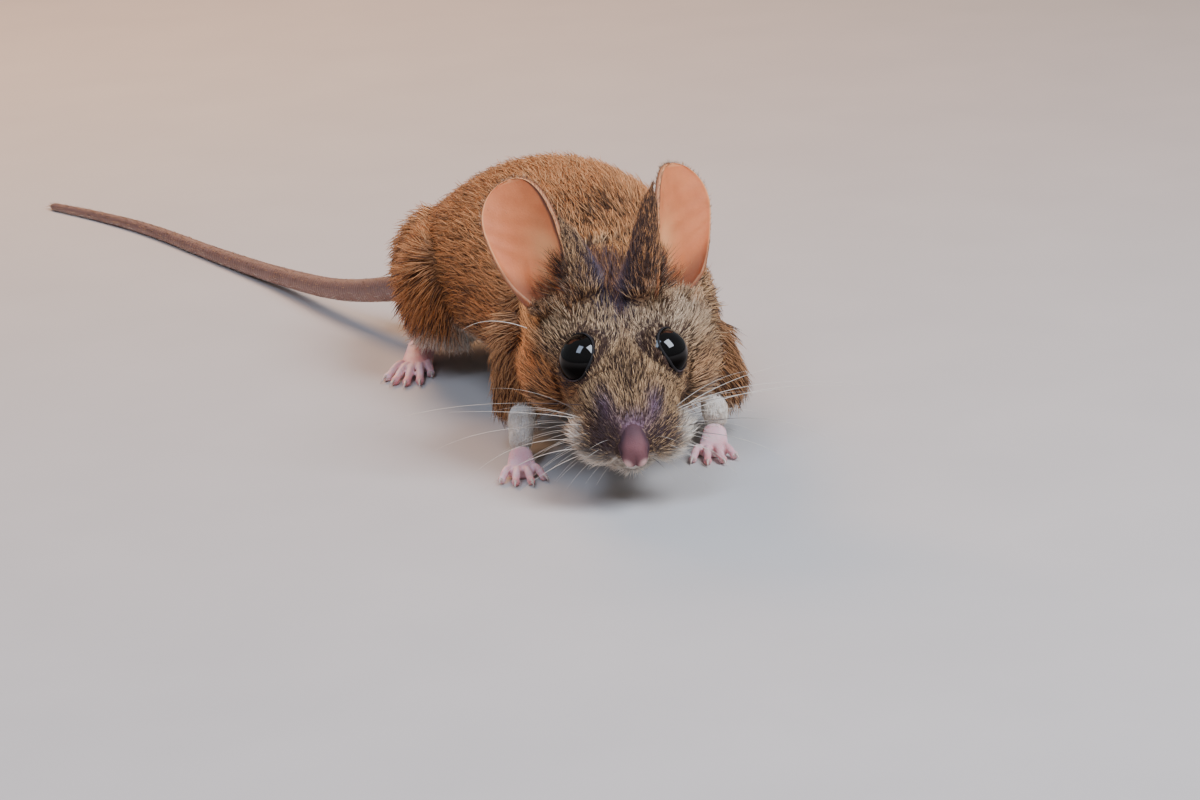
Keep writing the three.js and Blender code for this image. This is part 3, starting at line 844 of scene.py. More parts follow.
@dataclass(frozen=True)
class Eye:
    """An eye in the head's frame: a ball with a clear bulge, and the opening between its lids.

    Attributes:
        side: the mouse's right or left.
        turn, lift: the eye's axis, in degrees outwards from straight ahead and up.
        opening: the angles from the axis to the rim at its front, top, back and bottom, in degrees.
        lid: half the width and half the thickness of a lid's edge.
        edge: the angle past the rim at which the skin of the face starts, in radians.
        sunk, clear: how deep skin lies in the ball inside that edge, and its least height over it outside.
        brow: the skin's greatest height over the ball next to the rim, the angle there, and the slope beyond.
        fade, far_fade: angles past the rim and heights over the ball over which the skin is let go.
        grasp: the height over the ball up to which skin is fitted.
    """

    side: Side
    opening: tuple[float, float, float, float] = (54, 75, 75, 50)
    at: Point = (4.3, 12.5, 3.6)
    radius: float = 2.9
    turn: float = 62.0
    lift: float = 26.0
    bulge: float = 0.06
    lid: Pair = (0.14, 0.06)
    edge: float = 0.1
    sunk: float = 0.7
    clear: float = 0.1
    brow: Point = (0.22, 0.12, 3.0)
    fade: Pair = (0.75, 1.25)
    far_fade: Pair = (1.5, 3.4)
    grasp: float = 3.5

    def middle(self) -> Array:
        """The ball's middle in the head's frame."""
        x, y, z = self.at
        return np.array([self.side.value * x, y, z])

    def axes(self) -> tuple[Array, Array, Array]:
        """The eye's axis, and the directions to the back and to the top of its opening."""
        a, b = math.radians(self.turn), math.radians(self.lift)
        s = self.side.value
        axis = np.array([s * math.sin(a) * math.cos(b), -math.cos(a) * math.cos(b), math.sin(b)])
        back = unit(np.array([s * math.cos(a), math.sin(a), 0.0]))
        return axis, back, unit(np.cross(axis, back) * s)

    def rim_angle(self, around: Array) -> Array:
        """The angle from the axis to the rim, at angles around it from back over top: a closed curve."""
        front, top, back, bottom = self.opening
        share = np.mod(around / (2 * np.pi), 1) * 4
        stops = np.array([back, top, front, bottom, back, top], float)
        i = np.minimum(share.astype(int), 3)
        f = share - i
        f = f * f * (3 - 2 * f)
        return np.radians(stops[i] * (1 - f) + stops[i + 1] * f)

    def direction(self, away: Array, around: Array) -> Array:
        """Unit vectors at an angle away from the axis and an angle around it."""
        axis, back, top = self.axes()
        flat = np.cos(around)[..., None] * back + np.sin(around)[..., None] * top
        return np.cos(away)[..., None] * axis + np.sin(away)[..., None] * flat

    def eyeball(self) -> Surface:
        """The ball: its radius grows by the bulge towards the axis."""
        around, away = np.meshgrid(np.linspace(0, 2 * np.pi, 64, endpoint=False),
                                   np.linspace(0.01, np.pi - 0.01, 48))
        reach = self.radius + self.bulge * np.exp(-((away / 0.75) ** 2))
        way = self.direction(away, around)
        bright = ease((way @ HEAD.turn().T)[..., 2], -0.15, 0.4)
        return HEAD.placed(closed_tube(self.middle() + way * reach[..., None], {"wet": bright}))

    def lids(self) -> Surface:
        """The edge of the lids: an oval carried along the rim, hugging the ball."""
        around, turn = np.meshgrid(np.linspace(0, 2 * np.pi, 96, endpoint=False),
                                   np.linspace(0, 2 * np.pi, 12, endpoint=False), indexing="ij")
        wide, thick = self.lid
        away = self.rim_angle(around) + (wide * (1 + np.cos(turn))) / self.radius
        reach = self.radius + 0.02 + thick * (1 + np.sin(turn))
        points = self.middle() + self.direction(away, around) * reach[..., None]
        index = np.arange(points.shape[0] * 12).reshape(-1, 12)
        ahead, across = np.roll(index, -1, 0), np.roll(index, -1, 1)
        quads = np.stack([index, ahead, np.roll(ahead, -1, 1), across], -1).reshape(-1, 4)
        low = 0.7 * ease(-np.sin(around), 0.5, 0.9) * ease(np.sin(turn), 0.2, 0.9)
        return HEAD.placed(Surface(points.reshape(-1, 3), [quads], {"accent": low.ravel()}).outwards())

    def settle(self, points: Array) -> Array:
        """Fits skin to the eye: out of sight behind the opening, over the ball round it, then free.

        Args:
            points: skin in the working frame.

        Returns:
            The fitted points.
        """
        local = HEAD.into(points) - self.middle()
        axis, back, top = self.axes()
        reach = np.linalg.norm(local, axis=1)
        way = local / np.maximum(reach, 1e-6)[:, None]
        away = np.arccos(np.clip(way @ axis, -1, 1))
        around = np.arctan2(way @ top, way @ back)
        beyond = away - self.rim_angle(around)
        near = reach < self.radius + self.grasp
        behind = beyond < self.edge
        inside = np.where(behind, self.radius - self.sunk, self.radius + self.clear)
        height, angle, slope = self.brow
        outside = self.radius + height + np.maximum(beyond - angle, 0) * slope
        wanted = np.where(behind, inside, np.clip(reach, inside, np.maximum(outside, inside)))
        low, high = self.far_fade
        share = np.where(behind, 1.0, 1 - ease(beyond, *self.fade))
        share = share * np.where(behind, 1.0, 1 - ease(reach, self.radius + low, self.radius + high))
        fitted = reach + (wanted - reach) * share
        fitted = np.where(behind, fitted, np.maximum(fitted, self.radius + self.clear))
        moved = self.middle() + way * fitted[:, None]
        return np.where(near[:, None], HEAD.out(moved), points)


EYES = (Eye(Side.RIGHT), Eye(Side.LEFT, (42, 67, 74, 46)))


@dataclass(frozen=True)
class NosePad:
    """The bare tip of the nose: two lobes parted by a groove, with a comma-shaped nostril in each.

    Its surface is an ellipsoid, tilted back along the bridge, whose radius is scaled: up over each lobe,
    down in the groove and the nostrils. Directions are given across it, along it and out of its face.
    """

    at: Point = (0.0, 1.34, 0.46)
    size: Point = (1.78, 2.38, 1.42)
    tilt: float = 41.0
    lobe: Point = (0.44, -0.84, 0.3)
    nostril: Point = (0.9, -0.4, 0.2)
    slit: Point = (1.0, -0.1, 0.25)
    taper: float = 0.16  # by which it is narrower at its top
    relief: Point = (0.17, 0.26, 0.05)  # shares of its radius: up at a lobe, down in a nostril and the groove
    cover: float = 0.94  # of its size, within which no hair grows

    def axes(self) -> Array:
        """Across, along and out of the nose, in the head's frame."""
        a = math.radians(self.tilt)
        return np.array([(1, 0, 0), (0, math.cos(a), math.sin(a)), (0, -math.sin(a), math.cos(a))])

    def surface(self) -> Surface:
        """The pad in the working frame."""
        turn = np.linspace(0, 2 * np.pi, 80, endpoint=False)
        fall = np.linspace(0.02, np.pi - 0.02, 56)[:, None]
        # the poles lie to the left and right
        way = np.stack([np.cos(fall) + 0 * turn, np.sin(fall) * np.cos(turn),
                        np.sin(fall) * np.sin(turn)], -1)
        half = np.concatenate([np.abs(way[..., :1]), way[..., 1:]], -1)
        lobe = blob(half, unit(np.array(self.lobe)), (0.42, 0.34, 0.42))
        pit = (blob(half, unit(np.array(self.nostril)), (0.16, 0.15, 0.2))
               + 0.5 * blob(half, unit(np.array(self.slit)), (0.14, 0.3, 0.14)))
        groove = np.exp(-((way[..., 0] / 0.09) ** 2)) * ease(-way[..., 1], 0.45, 0.95)
        up, down, parted = self.relief
        scale = 1 + up * lobe - down * pit - parted * groove
        # painted shade: darker on the pad's sides, in its nostrils and in its groove; the darker top is the
        # skin's own mauve
        side = ease(half[..., 0], 0.45, 0.85)
        upper = ease(way[..., 1], -0.3, 0.7)
        marks = {"accent": 0.95 * ease(lobe, 0.4, 0.95) * (1 - 0.7 * groove),
                 "shade": np.clip(0.7 * side * (1 - lobe) + 0.75 * upper + pit + 0.35 * groove, 0, 1)}
        form = way * scale[..., None] * np.array(self.size)
        form[..., 0] *= 1 - self.taper * upper
        pad = np.array(self.at) + form @ self.axes()
        return HEAD.placed(closed_tube(pad, marks))

    def covers(self, local: Array) -> Array:
        """Which points of the head's frame lie inside the pad."""
        off = (local - np.array(self.at)) @ self.axes().T
        return ((off / (np.array(self.size) * self.cover)) ** 2).sum(1) < 1


@dataclass(frozen=True)
class Ear:
    """A thin bent pinna in the head's frame, tighter bent at its base than at its tip.

    Attributes:
        base, along, open: the foot of the ear, the way it rises and the way it opens.
        root_top: the share of its height up to which its furred root goes.
        away, crown: half widths at the base and at the widest, away from the crown and next to it.
        widest, roundness: the share of the length where it is widest, and how round it is above.
        drop, lift: how far its foot reaches down next to the crown, and up away from it.
        thick: of the sheet at the base and at the rim.
        bend, tip_back: the radius of its bend at the base and at the tip, and how far the tip leans back.
        root: radii of the furred cone behind the crown's edge, from its foot to its top.
        root_back: how far the cone's middle line lies behind that edge.
        collar: u, v and radius at points of the furred roll before the ear's foot, from the crown outwards.
        rows, columns: of points on each face.
        root_growth, collar_growth, hair: how fur grows on the cone, on the roll and on the pinna.
    """

    side: Side
    base: Point
    along: Point
    open: Point
    root_top: float
    length: float = 14.0
    away: Pair = (4.5, 4.7)
    crown: Pair = (2.3, 4.8)
    widest: float = 0.52
    roundness: float = 2.2
    drop: float = 2.8
    lift: float = 4.2
    thick: Pair = (0.6, 0.26)
    bend: Pair = (3.4, 8.2)
    tip_back: float = 1.8
    root: tuple[float, ...] = (1.4, 1.75, 1.75, 1.2, 0.4)
    root_back: tuple[float, ...] = (2.6, 2.0, 1.4, 0.85, 0.25)
    collar: tuple[Point, ...] = ((0.16, 1.0, 1.2), (0.06, 0.5, 1.1), (-0.04, -0.2, 1.0), (-0.2, -0.8, 0.7))
    rows: int = 56
    columns: int = 44
    root_growth: Growths = (Growth(1.8, 0.085, 0.4, 0.15, 40.0), Growth(0.8, 0.05, 0.3, 0.1, 70.0))
    collar_growth: Growths = (Growth(1.8, 0.08, 0.5, 0.2, 44.0), Growth(1.4, 0.075, 0.5, 0.2, 44.0))
    hair: Growth = Growth(0.55, 0.045, 0.35, 0.13, 22.0)

    def half(self, sizes: Pair, u: Array) -> Array:
        """The half width at share u of the height: a sine up to the widest, then a squared ellipse."""
        base, most = sizes
        above = np.clip((u - self.widest) / (1 - self.widest), 0, 1)
        rounded = most * np.maximum(0.0005, 1 - above ** self.roundness) ** (1 / self.roundness)
        return np.where(u < self.widest, base + (most - base) * np.sin(np.pi / 2 * u / self.widest), rounded)

    def axes(self) -> tuple[Array, Array, Array]:
        """The ear's rise, the way it opens and the way outwards across it."""
        rise = unit(np.array(self.along))
        front = unit(np.array(self.open) - rise * float(np.dot(self.open, rise)))
        return rise, front, np.cross(front, rise) * self.side.value

    def sheet(self, u: Array, v: Array, face: Array) -> Array:
        """Points of the pinna: v runs from -1 to 1 at the crown's edge; face is -1 inside and 1 outside."""
        rise, front, across = self.axes()
        radius = self.bend[0] + (self.bend[1] - self.bend[0]) * u
        half = np.where(v < 0, self.half(self.away, u), self.half(self.crown, u))
        bend = v * half / radius
        edge = np.maximum(np.abs(v), u) ** 4
        thick = self.thick[0] + (self.thick[1] - self.thick[0]) * edge
        rim = 0.12 * np.exp(-(((1 - np.abs(v)) / 0.08) ** 2)) * face
        folds = np.where(face < 0, self.folds(u, v), 0.0)
        reach = radius + face * thick / 2 + rim - folds
        up = self.length * u + (1 - u) * np.where(v > 0, -self.drop * v, self.lift * v * v)
        return (np.array(self.base) + rise * up[..., None]
                + front * (radius - reach * np.cos(bend) - self.tip_back * u * u)[..., None]
                + across * (reach * np.sin(bend))[..., None])

    @staticmethod
    def folds(u: Array, v: Array) -> Array:
        """Relief of the inside: two low ridges that run up from the ear's foot, and faint ribs across."""
        ridge = 0.42 * np.exp(-(((v + 0.28 - 0.25 * u) / 0.13) ** 2)) * (1 - ease(u, 0.12, 0.5))
        lobe = 0.5 * np.exp(-(((v - 0.5) / 0.2) ** 2 + ((u - 0.1) / 0.1) ** 2))
        ribs = 0.03 * np.sin(38 * u + 4 * v) * ease(u, 0.2, 0.4) * (1 - ease(u, 0.75, 0.95))
        return ridge + lobe + ribs

    def grid(self) -> tuple[Array, Array, Array]:
        """u, v and face of every point: each ring runs across the inside and back over the outside."""
        u = np.sin(np.pi / 2 * np.linspace(-0.12, 1, self.rows))[:, None]
        v = np.sin(np.pi / 2 * np.linspace(-1, 1, self.columns))[None]
        u, v = np.broadcast_arrays(u, v)
        inside = -np.ones(u.shape)
        pairs = ((u, u), (v, v[:, ::-1]), (inside, -inside))
        return tuple(np.concatenate(pair, 1) for pair in pairs)

    def surface(self) -> Surface:
        """The pinna in the working frame: painted light where light shines through it and catches its rim,
        its own darker colour behind and in a line inside the rim next to the crown, and painted shade at its
        foot.
        """
        u, v, face = self.grid()
        edge = np.maximum(np.abs(v), u)
        # painted light: bright patches where light would shine through the thin pinna, and a pale rim where
        # light would catch it
        bright = (blob(np.stack([v, u], -1), (0.45, 0.4), (0.42, 0.2))
                  + 0.7 * blob(np.stack([v, u], -1), (0.1, 0.22), (0.16, 0.07))
                  + 0.7 * ease(edge, 0.965, 0.995))
        # painted shade darkens the inside towards the ear's foot; the line inside the rim next to the crown
        # is the ear's own dark hair
        dark = 0.6 * (1 - ease(u, 0.02, 0.26)) + 1.0 * ease(v, 0.78, 0.9) * (1 - ease(edge, 0.98, 0.998))
        marks = {"accent": np.where(face < 0, bright, 0.3 * ease(edge, 0.95, 0.99)).clip(0, 1),
                 # behind, the darker colour is the ear's own
                 "shade": np.where(face < 0, dark, 0.9 - 0.25 * ease(-v, 0.0, 0.9)).clip(0, 1)}
        return HEAD.placed(closed_tube(self.sheet(u, v, face), marks))

    def forms(self) -> list[Form]:
        """The furred root, a cone behind the crown's edge, and the furred roll before the ear's foot."""
        rise, front, across = self.axes()
        u = np.linspace(-0.1, self.root_top, len(self.root))
        edge = self.sheet(u, np.ones(len(u)), np.ones(len(u))) + 0.25 * across * np.array(self.root)[:, None]
        edge = edge - front * np.array(self.root_back)[:, None]
        cone = Loft(tuple(Station(tuple(p), r) for p, r in zip(edge, self.root)),
                    ends=(0.1, 0.2), up=(0, 1, 0))
        u, v, radius = np.array(self.collar).T
        foot = self.sheet(u, v, -np.ones(len(u))) + 0.1 * front - rise * radius[:, None] * 0.8
        roll = Loft(tuple(Station(tuple(p), r) for p, r in zip(foot, radius)), ends=(0.3, 0.3))
        way = tuple(rise - 0.25 * front)
        return [Form(f"ear_root_{self.side.word}", cone, self.root_growth, True, way),
                Form(f"ear_collar_{self.side.word}", roll, self.collar_growth, True,
                     tuple(rise + 0.2 * front))]

    def down(self) -> tuple[Surface, Fields, Array]:
        """The pinna with its hairs: close and dark behind, a fringe next to the crown, fine elsewhere.

        Its chart has the inside on one half and the outside on the other.
        """
        u, v, face = (with_ends(values) for values in self.grid())
        pinna = self.surface()
        rise, _, across = (axis @ HEAD.turn().T for axis in self.axes())
        fringe = (ease(v, 0.2, 0.8) * (1 - ease(u, 0.28, 0.46))
                  + ease(v, -0.6, 0.2) * (1 - ease(u, 0.06, 0.18)))
        fringe = np.where(face < 0, fringe.clip(0, 1), 0)
        rim = ease(np.maximum(np.abs(v), u), 0.955, 0.985)
        line = np.where(face < 0, ease(v, 0.84, 0.94), 0)
        growth = np.tile(self.hair.row(), (len(u), 1))
        growth[:, 0] *= 1 + 4.5 * fringe
        growth[:, 1] *= 1 + 0.6 * fringe
        growth[:, 3] *= 1 + 1.8 * fringe
        growth[:, 4] *= np.where(face > 0, 1.6, 0.14 + 0.45 * fringe + 0.5 * rim + 1.2 * line) * (u > 0.02)
        # the pale hairs along the rim are partly their own colour and partly painted light that they catch
        masks = {"dusk": np.where(face > 0, 0.8 - 0.5 * ease(-v, -0.1, 0.8), 0.4 * fringe + line),
                 "rust": np.where(face > 0, 0.35, 0.75), "frost": 0.4 * rim}
        lie = rise + across * (0.5 * v * (1 - fringe) - 0.9 * fringe)[:, None]
        chart = np.stack([(v + 1) / 4 + np.where(face > 0, 0.5, 0), u.clip(0, 1)], 1)
        return pinna, Fields(lie, growth, masks), chart


EARS = (
    Ear(Side.RIGHT, (-7.2, 20.4, 6.2), (-0.32, 0.46, 0.85), (-0.34, -0.95, 0.3), 0.7),
    Ear(Side.LEFT, (5.6, 20.6, 6.2), (0.2, 0.46, 0.86), (0.74, -0.7, 0.3), 0.9),
)


# ---- the lie, growth and markings of the coat


@dataclass
class Fields:
    """What the coat does at each of a number of points.

    Attributes:
        lie: the direction in which it lies, along the skin.
        growth: rows of a Growth.
        masks: how far each marking holds, from 0 to 1.
        share, turn: on the furred body, the place along and round the nearest form, each from 0 to 1.
        nearest: the number of that form.
    """

    lie: Array
    growth: Array
    masks: dict[str, Array]
    share: Array = field(default_factory=lambda: np.zeros(0))
    turn: Array = field(default_factory=lambda: np.zeros(0))
    nearest: Array = field(default_factory=lambda: np.zeros(0))


@dataclass(frozen=True)
class HeadCoat:
    """The head's own lie and growth: short at the nose, swept back from it and round the eyes."""

    away: tuple[float, ...] = (0, 3, 6, 10, 14, 20, 27)  # distances from the tip of the nose
    length: tuple[float, ...] = (0.6, 1.05, 1.5, 1.9, 2.3, 2.8, 3.4)
    width: tuple[float, ...] = (0.05, 0.06, 0.073, 0.083, 0.093, 0.108, 0.13)
    density: tuple[float, ...] = (85, 75, 60, 48, 38, 28, 19)
    whorl: Point = (0, -1.5, -0.8)  # the lie sweeps away from this point before the nose
    eye_reach: float = 1.5
    eye_push: float = 1.3

    def lie(self, local: Array) -> Array:
        """Directions in the head's frame: away from the whorl, bending straight back, and round the eyes."""
        way = unit(local - np.array(self.whorl))
        way = way + np.array([0, 1.0, 0.1]) * ease(local[:, 1], 3, 15)[:, None]
        for eye in EYES:
            out = local - eye.middle()
            reach = np.linalg.norm(out, axis=1)
            push = self.eye_push * np.exp(-(np.maximum(reach - eye.radius, 0) / self.eye_reach) ** 2)
            way = way + unit(out) * push[:, None]
        return unit(way)

    def growth(self, local: Array, base: Array) -> Array:
        """Rows of a Growth, by the distance from the nose; shorter next to the eyes."""
        far = np.linalg.norm(local, axis=1)
        made = base.copy()
        made[:, 0] = np.interp(far, self.away, self.length)
        made[:, 1] = np.interp(far, self.away, self.width)
        made[:, 4] = np.interp(far, self.away, self.density)
        for eye in EYES:
            reach = np.linalg.norm(local - eye.middle(), axis=1) - eye.radius
            made[:, 0] *= 0.42 + 0.58 * ease(reach, 0.3, 2.4)
        return made


FACE_FORMS = ("skull", "jaw")
HEAD_SPOTS: dict[str, tuple[tuple[float, Point, Point], ...]] = {
    # markings of the face as soft spots in the head's frame: strength, place, size
    "bare": ((1.2, (-2.6, 4.5, 2.7), (0.8, 1.8, 0.9)), (1.2, (2.5, 4.4, 2.7), (0.8, 1.7, 0.9)),
             (1.0, (0, 2.6, 2.3), (2.3, 1.0, 1.0))),
    "slate": ((0.3, (-3.0, 2.2, 0.8), (2.4, 2.6, 1.8)), (0.3, (3.0, 2.0, 0.7), (2.2, 2.4, 1.7)),
              (0.4, (-2.9, 5.0, 2.6), (1.3, 2.0, 1.2)), (0.4, (2.8, 4.8, 2.6), (1.2, 1.8, 1.2)),
              (2.0, (-0.8, 22.0, 8.5), (2.2, 5.0, 6.0)), (0.9, (0.1, 16.4, 6.6), (1.5, 2.8, 4.0)),
              (0.3, (-6.4, 11.9, 0.6), (1.5, 2.0, 1.4))),
    "dusk": ((0.4, (0, 7.0, 4.2), (0.8, 3.4, 1.5)), (0.2, (0, 25.0, 8.5), (5.5, 5.0, 6.0)),
             # the dark patches either side of the muzzle are the coat's own; the one on the right is stronger
             # as painted shade, on the side away from the light
             (1.2, (-2.8, 2.2, 0.6), (2.6, 2.8, 1.9)), (0.65, (2.8, 2.0, 0.5), (2.3, 2.5, 1.7)),
             (0.1, (-6.4, 11.9, 0.6), (1.6, 2.2, 1.6)), (0.4, (4.6, 9.0, 2.2), (1.4, 2.0, 1.4)),
             (0.35, (0, 8.0, 4.5), (3.2, 4.0, 2.4)), (0.2, (-8.6, 16.0, 2.4), (2.0, 4.0, 2.4))),
    "frost": ((0.6, (6.4, 18.2, 4.8), (3.0, 4.0, 2.8)), (0.25, (9.2, 19.0, 2.0), (2.6, 4.0, 3.0)),
              (0.35, (0.6, 14.6, 6.4), (5.0, 3.6, 3.0)),
              (0.35, (-6.4, 19.1, 5.3), (2.4, 3.0, 2.0))),
    "rust": ((1.2, (-8.2, 18.0, -1.6), (3.6, 5.0, 3.2)), (0.8, (-6.6, 13.2, -0.8), (2.4, 3.4, 2.0)),
             (0.35, (7.6, 15.0, -1.6), (3.6, 4.4, 3.0)), (0.7, (-5.7, 9.2, 1.3), (1.6, 2.2, 1.6))),
    "pale": ((1.0, (-5.7, 3.4, 0.0), (0.8, 2.2, 1.3)), (1.0, (-4.2, 1.2, -1.7), (1.8, 1.6, 0.9)),
             (1.0, (5.6, 2.6, 0.0), (0.9, 2.2, 1.4)), (1.0, (3.7, 0.9, -1.8), (1.8, 1.5, 0.9))),
}


class Body:
    """All the furred forms, and the fields of the coat over them."""

    SAMPLES = 25
    SHARPNESS = 7.0  # of the change from one form's coat to the next one's
    BARE_THINNING = 0.7
    PALE_GAIN = (0.5, 0.3, 0.5, 1.0, 0.0)  # what a Growth's values gain where the coat is pale
    WAVES = ((0.16, 7.0, 11), (0.1, 2.6, 12))  # of the lie: strength, wavelength and seed

    def __init__(self) -> None:
        """Makes the forms."""
        self.head_coat = HeadCoat()
        self.trunk = Trunk()
        self.skull = Skull()
        self.forms: list[Form] = [self.trunk.form(), *self.skull.forms()]
        for part in (*EARS, *FORELEGS, *HINDLEGS):
            self.forms.extend(part.forms())
        self.names = [form.name for form in self.forms]

    def surfaces(self) -> list[Surface]:
        """The closed surfaces that the furred skin is joined from."""
        muscles = [ball(leg.buttock, leg.buttock_size) for leg in HINDLEGS]
        muscles.append(ball(self.trunk.nape, self.trunk.nape_size))
        return [form.surface() for form in self.forms] + self.skull.swellings() + muscles

    def _near(self, form: Form, points: Array) -> tuple[Array, Array, Array, Array]:
        """How far points are from a form in its own radii, their share along it, their turn and the lie."""
        path, t = form.loft.path(), np.linspace(0, 1, self.SAMPLES)
        local = HEAD.into(points) if form.in_head else points
        centres, radius = path.at(t), form.loft.sizes(t).mean(1)
        reach = np.stack([np.linalg.norm(local - c, axis=1) / r for c, r in zip(centres, radius)])
        at = reach.argmin(0)
        ahead, side, up = (v[at] for v in path.frame(t))
        off = local - centres[at]
        share = np.clip(t[at] + (off * ahead).sum(1) / path.length(), 0, 1)
        turn = np.arctan2((off * up).sum(1), (off * side).sum(1))
        lie = np.broadcast_to(unit(np.array(form.way)), ahead.shape) if form.way else ahead
        return reach.min(0), share, turn, lie @ HEAD.turn().T if form.in_head else lie

    def fields(self, points: Array, normals: Array) -> Fields:
        """The coat's fields at points of the skin.

        Args:
            points: in the working frame.
            normals: the skin's normals there.

        Returns:
            The fields.
        """
        found = [self._near(form, points) for form in self.forms]
        scores, shares, turns, lies = (np.stack(values) for values in zip(*found))
        nearest = scores.argmin(0)
        weights = np.exp(-self.SHARPNESS * (scores ** 2 - scores.min(0) ** 2))
        weights /= weights.sum(0)
        local = HEAD.into(points)
        weight = {name: weights[k] for k, name in enumerate(self.names)}
        masks = self.markings(points, local, normals, weight, turns[0])
        growth = np.zeros((len(points), 5))
        lie = np.zeros_like(points)
        for k, form in enumerate(self.forms):
            first, last = (np.array(g.row()) for g in form.growth)
            grown = first + (last - first) * shares[k][:, None]
            swept = lies[k]
            if form.name in FACE_FORMS:
                grown = self.head_coat.growth(local, grown)
                swept = self.head_coat.lie(local) @ HEAD.turn().T
            growth += weights[k][:, None] * grown
            lie += weights[k][:, None] * swept
        growth[:, 4] *= 1 - self.BARE_THINNING * masks["bare"]
        growth *= np.array(self.PALE_GAIN) * masks["pale"][:, None] + 1
        for strength, wave, seed in self.WAVES:
            lie = lie + strength * ripple(points, wave, seed)
        lie = unit(lie - normals * (lie * normals).sum(1)[:, None])
        pick = np.arange(len(points))
        round_form = turns[nearest, pick] / (2 * np.pi) + 0.5
        return Fields(lie, growth, masks, shares[nearest, pick], round_form, nearest)

    def markings(self, points: Array, local: Array, normals: Array, weight: dict[str, Array],
                 trunk_turn: Array) -> dict[str, Array]:
        """The markings, from the place on the body: each is a sum of smooth steps and soft spots.

        Args:
            points: in the working frame.
            local: the same points in the head's frame.
            normals: the skin's normals.
            weight: how far each form holds at the points.
            trunk_turn: the angle round the trunk.

        Returns:
            Masks from 0 to 1: under (white), pale (white and longer), rust, dusk (dark: the coat's own dark
                markings,
            with painted shade on the lower flanks and on the muzzle's right side), slate (dark and cold),
            frost (light), bare (the skin shows) and soft (light roots).
        """
        face = weight["skull"] + weight["jaw"]
        arms, forearms, thighs, shanks, cones, rolls = (
            sum(w for n, w in weight.items() if n.startswith(start))
            for start in ("upper_arm", "forearm", "thigh", "shank", "ear_root", "ear_collar"))
        head = face + cones + rolls + weight["trunk"] * (1 - ease(local[:, 1], 27, 34))
        left = local[:, 0] > 0
        uneven = ripple(points, 3.0, seed=21)[:, 0] * 0.5 + ripple(points, 1.2, seed=22)[:, 0] * 0.3
        y, z = local[:, 1], local[:, 2]
        lip = np.interp(y, (-1, 2, 6, 10, 16, 24), (-1.7, -1.5, -2.0, -3.6, -5.2, -6.0)) + 0.35 * uneven
        height = np.sin(trunk_turn)
        under = (face * (1 - ease(z - lip, -0.7, 0.7))
                 + weight["trunk"] * ease(-height + 0.12 * uneven, 0.52, 0.72)
                 + (arms + thighs) * ease(-normals[:, 2] + 0.1 * uneven, 0.35, 0.75)
                 + forearms * (1 - 0.5 * ease(points[:, 2], 7.0, 10.0))
                 + shanks * (1 - ease(points[:, 2] + 2.0 * normals[:, 2] + uneven, 4.0, 7.0)))
        eyes = np.minimum(*(np.linalg.norm(local - e.middle(), axis=1) - e.radius for e in EYES))
        spot = {name: np.clip(sum(share * blob(local, at, size) for share, at, size in spots), 0, 1)
                for name, spots in HEAD_SPOTS.items()}
        spot = {name: values * (1 - 0.3 * uneven) * head for name, values in spot.items()}
        withers = blob(points, (-1.5, 24.0, 24.5), (6.5, 6.0, 5.0))
        masks = {
            "under": under + spot["pale"],
            "pale": spot["pale"],
            "rust": ((1 - head) * (0.5 + 0.35 * np.exp(-(((height + 0.1) / 0.35) ** 2))) * (1 - 0.4 * arms)
                     + spot["rust"]
                     + cones * np.where(left, 0.7, 0.2) + 0.45 * rolls * ~left),
            "dusk": (0.85 * (1 - ease(eyes, 0.3, 0.9)) * face
                     # painted shade: the trunk darkens towards the belly by the last term here; the darker
                     # withers are the coat's own stripe
                     + (1 - head) * (0.5 * withers + 0.25 * arms + 0.25 * ease(-height, -0.5, 0.3))
                     + spot["dusk"]
                     + cones * np.where(left, 0.75, 0.35) * ease(z, 6.0, 10.0) + 0.3 * rolls * ~left),
            "slate": spot["slate"] * (1 - 0.9 * under),
            "frost": spot["frost"] * (1 - rolls * np.where(left, 0.6, 1.0)),
            "bare": spot["bare"],
            "soft": (1 - head) * (1 - 0.5 * withers),
        }
        masks["rust"] = masks["rust"] * (1 - under)
        return {name: np.clip(values, 0, 1) for name, values in masks.items()}


# ---- the skin


